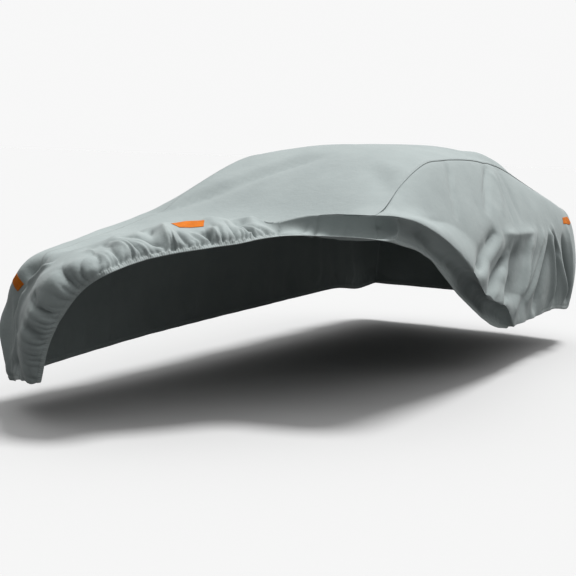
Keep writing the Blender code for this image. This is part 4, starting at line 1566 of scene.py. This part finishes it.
@dataclass
class NearSidePanel(Panel):
    """The side panel whose front corner is drawn back, with its rolled hem."""

    name: str = "cover_near_side"
    node: str = "near_side_panel"
    flat: tuple = (1.35, 3.90)
    area: float = 3.7
    body_rows: int = 240
    columns: int = 160
    roll_rows: int = 30
    body_grade: float = 1.2
    settle: float = 0.45
    walk: tuple = (6.0, 16.0, 401)  # stations at which the seam is looked up by its y
    widths: tuple = ((0.0, 0.25, 1.0), (2.60, 1.60, 0.85))  # of the cloth, at shares of its length

    def layer(self) -> ClothMesh:
        """Dresses the panel from its rolled hem back to the tail corner.

        Returns:
            Its one layer of cloth.
        """
        walk = np.linspace(*self.walk)
        along = eased(self.body_rows, self.body_grade)
        width = np.interp(along, *self.widths)
        part = graded(width, self.seam_steps, self.hem_steps, self.columns)
        edge = FORM.seam_row + (len(FORM.free_edge) - 1.0 - FORM.seam_row) * part
        crest = FORM.edge_rows(edge)[1]
        first_station = np.interp(crest[..., 1], FORM.seam_point(walk)[:, 1], walk)
        first_station[:, 0] = FORM.seam_station
        first_row = smooth_row(FORM.free_edge, edge)[..., 7]
        station = first_station * (1 - along[:, None]) + FORM.tail_edge * along[:, None]
        row = first_row * (1 - along[:, None]) + HEM_ROW * part * along[:, None]
        row = np.clip(row, 0.0, HEM_ROW)
        form = FORM.side_point(station, row)
        base = FORM.side_point(first_station, np.clip(first_row, 0.0, HEM_ROW))
        seam_lift = FORM.near_seam(station[:, :1]) - FORM.side_point(station[:, :1], row[:, :1])
        edge_lift = crest - base
        from_edge = 1 - ramp(np.linalg.norm(form - base, axis=-1) / self.settle)[..., None]
        from_seam = 1 - ramp(np.linalg.norm(form - form[:, :1], axis=-1) / self.settle)[..., None]
        both = FORM.seam_lift * from_edge * from_seam
        main = form + (seam_lift * from_seam + edge_lift * from_edge - both)
        hem, top, _ = FORM.edge_rows(edge[0])
        width = np.linalg.norm(hem - top, axis=1)
        roll = FORM.rolled(edge[0], graded(width, (0.0,), self.hem_steps, self.roll_rows))
        layer, index = self.of_grid(np.concatenate([roll.transpose(1, 0, 2)[:0:-1], main]))
        row = self.hem_steps.index(self.hem.casing)
        self.stitch_lines = [index[row, :], index[row:, -1 - row]]
        return layer


@dataclass
class FarSidePanel(Panel):
    """The side panel that hangs whole, from the nose corner to the tail corner."""

    name: str = "cover_far_side"
    node: str = "far_side_panel"
    flat: tuple = (1.25, 4.95)
    area: float = 5.2
    hood_rows: int = 90
    body_rows: int = 160
    columns: int = 84
    body_grade: float = 1.5
    drop: float = 1.05  # of the cloth from its seam to its hem

    def layer(self) -> ClothMesh:
        """Dresses the panel.

        Returns:
            Its one layer of cloth.
        """
        start = FORM.seam_station
        hood = np.linspace(FORM.nose_edge, start, self.hood_rows + 1)
        body = eased(self.body_rows, self.body_grade)[1:]
        station = np.concatenate([hood, start + (FORM.tail_edge - start) * body])
        width = np.full(len(station), self.drop)
        part = graded(width, self.seam_steps, self.hem_steps, self.columns)
        spread = np.broadcast_to(station[:, None], part.shape)
        layer, index = self.of_grid(FORM.side_point(spread, HEM_ROW * part) * FAR)
        self.stitch_lines = [index[:, -1 - self.hem_steps.index(self.hem.casing)]]
        return layer


# ---------------------------------------------------------------- patches and stitches
@dataclass
class ReflectivePatch:
    """A reflective patch cut along straight edges and sewn onto a panel."""

    name: str
    node: str
    panel: str  # node of the panel that carries it
    corners: tuple
    thickness: float = 0.0008
    rise: float = 0.0022  # of its middle over the middle of the cloth
    depth: float = 0.045  # how far in front of or behind its middle it may curve
    reach: float = 0.24  # round its middle, inside which the cloth is cut
    cut_width: float = 0.00005  # points this near to a cut lie on it

    def cut_out(self, layer: ClothMesh) -> bmesh.types.BMesh:
        """Cuts the patch out of a copy of the cloth that carries it.

        Args:
            layer: The panel's layer of cloth.

        Returns:
            The open surface of the patch, on the cloth's own surface.
        """
        corners = np.array(self.corners)
        centre = corners.mean(axis=0)
        faces = layer.faced_out()
        close = np.linalg.norm(layer.points[faces] - centre, axis=-1).max(axis=1) < self.reach
        used, faces = np.unique(faces[close], return_inverse=True)
        local = bpy.data.meshes.new("patch_cut")
        local.from_pydata(layer.points[used].tolist(), [], faces.reshape(-1, 4).tolist())
        work = bmesh.new()
        work.from_mesh(local)
        bpy.data.meshes.remove(local)
        following = np.roll(corners, -1, axis=0)
        facing = unit(np.cross(corners - centre, following - centre).sum(axis=0))
        cuts = [(c, np.cross(run, facing)) for c, run in zip(corners, following - corners)]
        cuts += [(centre + self.depth * facing, facing), (centre - self.depth * facing, facing)]
        for corner, side in cuts:
            bmesh.ops.bisect_plane(
                work,
                geom=work.verts[:] + work.edges[:] + work.faces[:],
                dist=self.cut_width,
                plane_co=corner,
                plane_no=side * np.sign(np.dot(side, corner - centre)),
                clear_outer=True,
            )
        self.keep_nearest(work, Vector(centre))
        return work

    @staticmethod
    def keep_nearest(work: bmesh.types.BMesh, middle: Vector) -> None:
        """Keeps only the faces that are joined to the middle one.

        Args:
            work: The cut surface.
            middle: The middle of the patch.
        """
        first = min(work.faces, key=lambda face: (face.calc_center_median() - middle).length)
        kept, waiting = {first}, [first]
        while waiting:
            for edge in waiting.pop().edges:
                fresh = [face for face in edge.link_faces if face not in kept]
                kept.update(fresh)
                waiting.extend(fresh)
        spare = [face for face in work.faces if face not in kept]
        bmesh.ops.delete(work, geom=spare, context="FACES")

    def build(self, layer: ClothMesh, finish: bpy.types.Material) -> bpy.types.Object:
        """Builds and dresses the patch on its panel.

        Args:
            layer: The panel's layer of cloth.
            finish: The patch's material.

        Returns:
            The piece.
        """
        work = self.cut_out(layer)
        work.normal_update()
        for vertex, normal in [(v, v.normal.copy()) for v in work.verts]:
            vertex.co += normal * self.rise - Vector(ROW_ORIGIN)
        mesh = bpy.data.meshes.new(self.name)
        work.to_mesh(mesh)
        work.free()
        mesh.shade_smooth()
        mesh.materials.append(finish)
        piece = put_in_scene(self.name, mesh)
        give_wall(piece, self.thickness)
        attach(piece, "root")
        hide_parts(self.node)
        LOG.info("%s: %d points", self.name, len(mesh.vertices))
        return piece


@dataclass
class StitchRows:
    """Rows of sewn stitches along lines on the cloth, made by one tree of Geometry Nodes."""

    name: str
    pitch: float = 0.0075
    length: float = 0.0050
    width: float = 0.0013
    seed: int = 5
    uneven: tuple = (0.88, 1.08)  # smallest and largest stitch, as shares of the sizes

    def tree(self) -> bpy.types.NodeTree:
        """Builds the tree.

        Returns:
            The tree, its sizes as named inputs.
        """
        tree = bpy.data.node_groups.new(self.name + "_tree", "GeometryNodeTree")
        face = tree.interface
        face.new_socket("Geometry", in_out="INPUT", socket_type="NodeSocketGeometry")
        for label in ("Pitch", "Length", "Width"):
            face.new_socket(label, in_out="INPUT", socket_type="NodeSocketFloat")
        face.new_socket("Seed", in_out="INPUT", socket_type="NodeSocketInt")
        face.new_socket("Thread", in_out="INPUT", socket_type="NodeSocketMaterial")
        face.new_socket("Geometry", in_out="OUTPUT", socket_type="NodeSocketGeometry")
        new, link = tree.nodes.new, tree.links.new
        inputs, output = new("NodeGroupInput"), new("NodeGroupOutput")
        curve, spaced = new("GeometryNodeMeshToCurve"), new("GeometryNodeResampleCurve")
        spaced.mode = "LENGTH"
        bead, shape = new("GeometryNodeMeshIcoSphere"), new("GeometryNodeTransform")
        bead.inputs["Radius"].default_value = 0.5
        bead.inputs["Subdivisions"].default_value = 1
        sizes, place = new("ShaderNodeCombineXYZ"), new("GeometryNodeInstanceOnPoints")
        heading, turn = new("GeometryNodeInputTangent"), new("FunctionNodeAlignRotationToVector")
        turn.axis = "X"
        uneven = new("FunctionNodeRandomValue")
        uneven.data_type = "FLOAT"
        real, paint = new("GeometryNodeRealizeInstances"), new("GeometryNodeSetMaterial")
        link(inputs.outputs["Geometry"], curve.inputs[0])
        link(curve.outputs[0], spaced.inputs["Curve"])
        link(inputs.outputs["Pitch"], spaced.inputs["Length"])
        link(inputs.outputs["Length"], sizes.inputs["X"])
        link(inputs.outputs["Width"], sizes.inputs["Y"])
        link(inputs.outputs["Width"], sizes.inputs["Z"])
        link(bead.outputs["Mesh"], shape.inputs["Geometry"])
        link(sizes.outputs[0], shape.inputs["Scale"])
        link(spaced.outputs[0], place.inputs["Points"])
        link(shape.outputs[0], place.inputs["Instance"])
        link(heading.outputs[0], turn.inputs["Vector"])
        link(turn.outputs[0], place.inputs["Rotation"])
        floats = [s for s in uneven.inputs if s.type == "VALUE"]
        floats[0].default_value, floats[1].default_value = self.uneven
        link(inputs.outputs["Seed"], uneven.inputs["Seed"])
        link([s for s in uneven.outputs if s.type == "VALUE"][0], place.inputs["Scale"])
        link(place.outputs[0], real.inputs[0])
        link(real.outputs[0], paint.inputs["Geometry"])
        link(inputs.outputs["Thread"], paint.inputs["Material"])
        link(paint.outputs[0], output.inputs[0])
        return tree

    def build(self, lines: Iterable[np.ndarray], finish: bpy.types.Material) -> bpy.types.Object:
        """Lays the stitches along lines of points and makes them one plain mesh.

        Args:
            lines: Points of each row of stitches, in the cover's own frame.
            finish: The thread's material.

        Returns:
            The piece.
        """
        points, edges = [], []
        for line in lines:
            first = len(points)
            points.extend((line - ROW_ORIGIN).tolist())
            edges.extend((i, i + 1) for i in range(first, len(points) - 1))
        guide = bpy.data.meshes.new(self.name + "_guide")
        guide.from_pydata(points, edges, [])
        carrier = put_in_scene(self.name + "_guide", guide)
        rows = carrier.modifiers.new("stitches", "NODES")
        rows.node_group = self.tree()
        named = {item.name: item.identifier for item in rows.node_group.interface.items_tree}
        for label, value in (
            ("Pitch", self.pitch),
            ("Length", self.length),
            ("Width", self.width),
            ("Seed", self.seed),
            ("Thread", finish),
        ):
            rows[named[label]] = value
        graph = bpy.context.evaluated_depsgraph_get()
        mesh = bpy.data.meshes.new_from_object(carrier.evaluated_get(graph))
        bpy.data.objects.remove(carrier, do_unlink=True)
        mesh.name = self.name
        mesh.shade_smooth()
        if not mesh.materials:
            mesh.materials.append(finish)
        piece = put_in_scene(self.name, mesh)
        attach(piece, "root")
        LOG.info("%s: %d faces", self.name, len(mesh.polygons))
        return piece


# ---------------------------------------------------------------- floor, light and camera
@dataclass
class PhotoStage:
    """A plain pale floor, soft light and the camera at the photograph's viewing angle."""

    camera_place: tuple = (3.4164, -7.4794, -0.0908)
    yaw: float = 0.49952
    pitch: float = -0.114024
    roll: float = 0.036293
    lens: float = 72.77
    sensor: float = 36.0
    floor_size: float = 400.0
    floor_tone: tuple = (0.42, 0.42, 0.42, 1.0)
    floor_shade: tuple = (0.17, 0.17, 0.17, 1.0)  # of the floor, for the light that it throws back
    sky_low: float = 0.06  # light from the horizon
    sky_high: float = 1.35  # light from straight above
    backdrop: float = 0.935  # the plain surround that the camera sees
    key: float = 4.1
    sky_top: tuple = (0.12, 0.34, 0.93)  # towards the brightest part of the surround
    key_from: tuple = (0.12, 0.30, 1.0)
    key_spread: float = 18.0

    def camera(self) -> bpy.types.Object:
        """Places the camera.

        Returns:
            The camera.
        """
        flat = math.cos(self.pitch)
        left, forward = -math.sin(self.yaw) * flat, math.cos(self.yaw) * flat
        ahead = Vector((left, forward, math.sin(self.pitch)))
        right = ahead.cross(Vector((0, 0, 1))).normalized()
        up = right.cross(ahead)
        level = math.cos(self.roll) * right + math.sin(self.roll) * up
        upward = -math.sin(self.roll) * right + math.cos(self.roll) * up
        data = bpy.data.cameras.new("photo_camera")
        data.sensor_fit = "AUTO"
        data.sensor_width = self.sensor
        data.lens = self.lens
        data.clip_end = 1000.0
        made = put_in_scene("photo_camera", data)
        turn = Matrix((level, upward, -ahead)).transposed()
        made.matrix_world = Matrix.Translation(self.camera_place) @ turn.to_4x4()
        bpy.context.scene.camera = made
        return made

    def floor(self) -> bpy.types.Object:
        """Lays the floor under the cover.

        Returns:
            The floor.
        """
        work = bmesh.new()
        bmesh.ops.create_grid(work, x_segments=1, y_segments=1, size=self.floor_size)
        bmesh.ops.translate(work, verts=work.verts, vec=(0, 0, -float(ROW_ORIGIN[2])))
        mesh = bpy.data.meshes.new("floor")
        work.to_mesh(mesh)
        work.free()
        made = put_in_scene("floor", mesh)
        writer = ShaderWriter("floor_finish")
        seen = writer.value("ShaderNodeLightPath", {}, {}, "Is Camera Ray")
        tone = writer.mix(seen, self.floor_shade, self.floor_tone)
        mesh.materials.append(writer.finish(Base_Color=tone, Roughness=1.0, Specular_IOR_Level=0.0))
        return made

    def light(self, name: str, toward: tuple, strength: float, spread: float) -> bpy.types.Object:
        """Adds a broad light from far off, as soft as a large window.

        Args:
            name: Its name.
            toward: The direction that the light comes from.
            strength: Its strength on a surface that faces it.
            spread: The angle that it fills, in degrees.

        Returns:
            The light.
        """
        data = bpy.data.lights.new(name, "SUN")
        data.energy = strength
        data.angle = math.radians(spread)
        made = put_in_scene(name, data)
        made.matrix_world = Vector(toward).to_track_quat("Z", "Y").to_matrix().to_4x4()
        return made

    def sky(self) -> None:
        """Sets a surround that is brighter overhead, as under a wide soft box, and plain behind."""
        world = bpy.data.worlds.new("studio")
        world.use_nodes = True
        bpy.context.scene.world = world
        tree = world.node_tree
        place = tree.nodes.new("ShaderNodeTexCoord")
        height = tree.nodes.new("ShaderNodeVectorMath")
        height.operation = "DOT_PRODUCT"
        height.inputs[1].default_value = self.sky_top
        stops = tree.nodes.new("ShaderNodeMapRange")
        stops.interpolation_type = "SMOOTHSTEP"
        for socket, value in zip(stops.inputs, (0.0, 0.0, 0.9, self.sky_low, self.sky_high)):
            socket.default_value = value
        tree.links.new(place.outputs["Generated"], height.inputs[0])
        tree.links.new(height.outputs["Value"], stops.inputs[0])
        path = tree.nodes.new("ShaderNodeLightPath")
        plain = tree.nodes.new("ShaderNodeMix")
        plain.inputs[3].default_value = self.backdrop
        tree.links.new(path.outputs["Is Camera Ray"], plain.inputs[0])
        tree.links.new(stops.outputs[0], plain.inputs[2])
        tree.links.new(plain.outputs[0], tree.nodes["Background"].inputs["Strength"])
        tree.nodes["Background"].inputs["Color"].default_value = (1.0, 1.0, 1.0, 1.0)

    def build(self) -> None:
        """Builds the whole stage."""
        self.camera()
        self.floor()
        self.sky()
        self.light("key_softbox", self.key_from, self.key, self.key_spread)
        view = bpy.context.scene.view_settings
        view.view_transform = "Standard"
        view.look = "None"
        LOG.info("stage: floor, sky, light and camera")


# ---------------------------------------------------------------- the cover
@dataclass
class CarCover:
    """The whole cover: three panels of cloth, three patches and the rows of stitches."""

    stitch_rise: float = 0.0010  # of the stitches over the middle of the cloth
    patches: tuple = (
        ReflectivePatch(
            "hood_reflector",
            "hood_patch",
            "top_panel",
            (
                (-0.140, 0.700, 1.045),
                (-0.105, 0.790, 1.062),
                (-0.030, 0.860, 1.066),
                (0.010, 0.790, 1.040),
                (-0.070, 0.680, 1.026),
            ),
        ),
        ReflectivePatch(
            "nose_reflector",
            "nose_patch",
            "far_side_panel",
            (
                (-0.850, 0.300, 0.750),
                (-0.780, 0.270, 0.700),
                (-0.840, 0.280, 0.655),
                (-0.905, 0.310, 0.710),
            ),
        ),
        ReflectivePatch(
            "tail_reflector",
            "tail_patch",
            "near_side_panel",
            (
                (0.890, 4.600, 1.020),
                (0.885, 4.790, 1.025),
                (0.895, 4.850, 0.975),
                (0.905, 4.770, 0.960),
                (0.910, 4.570, 0.975),
            ),
        ),
    )

    def build(self) -> None:
        cloth = ClothFinish().material()
        orange = ReflectorFinish().material()
        thread = ThreadFinish().material()
        for panel in (TopPanel(), NearSidePanel(), FarSidePanel()):
            piece, layer = panel.build(cloth)
            carried = [patch for patch in self.patches if patch.panel == panel.node]
            extra = [patch.build(layer, orange) for patch in carried]
            raised = layer.points + FORM.outward(layer.points) * self.stitch_rise
            rows = [raised[line] for line in panel.stitch_lines]
            extra.append(StitchRows(panel.name + "_stitches").build(rows, thread))


def main() -> None:
    """Builds the stage and the cover."""
    logging.basicConfig(level=logging.INFO, format="%(message)s")
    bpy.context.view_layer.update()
    PhotoStage().build()
    CarCover().build()
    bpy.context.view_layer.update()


if __name__ == "__main__":
    main()
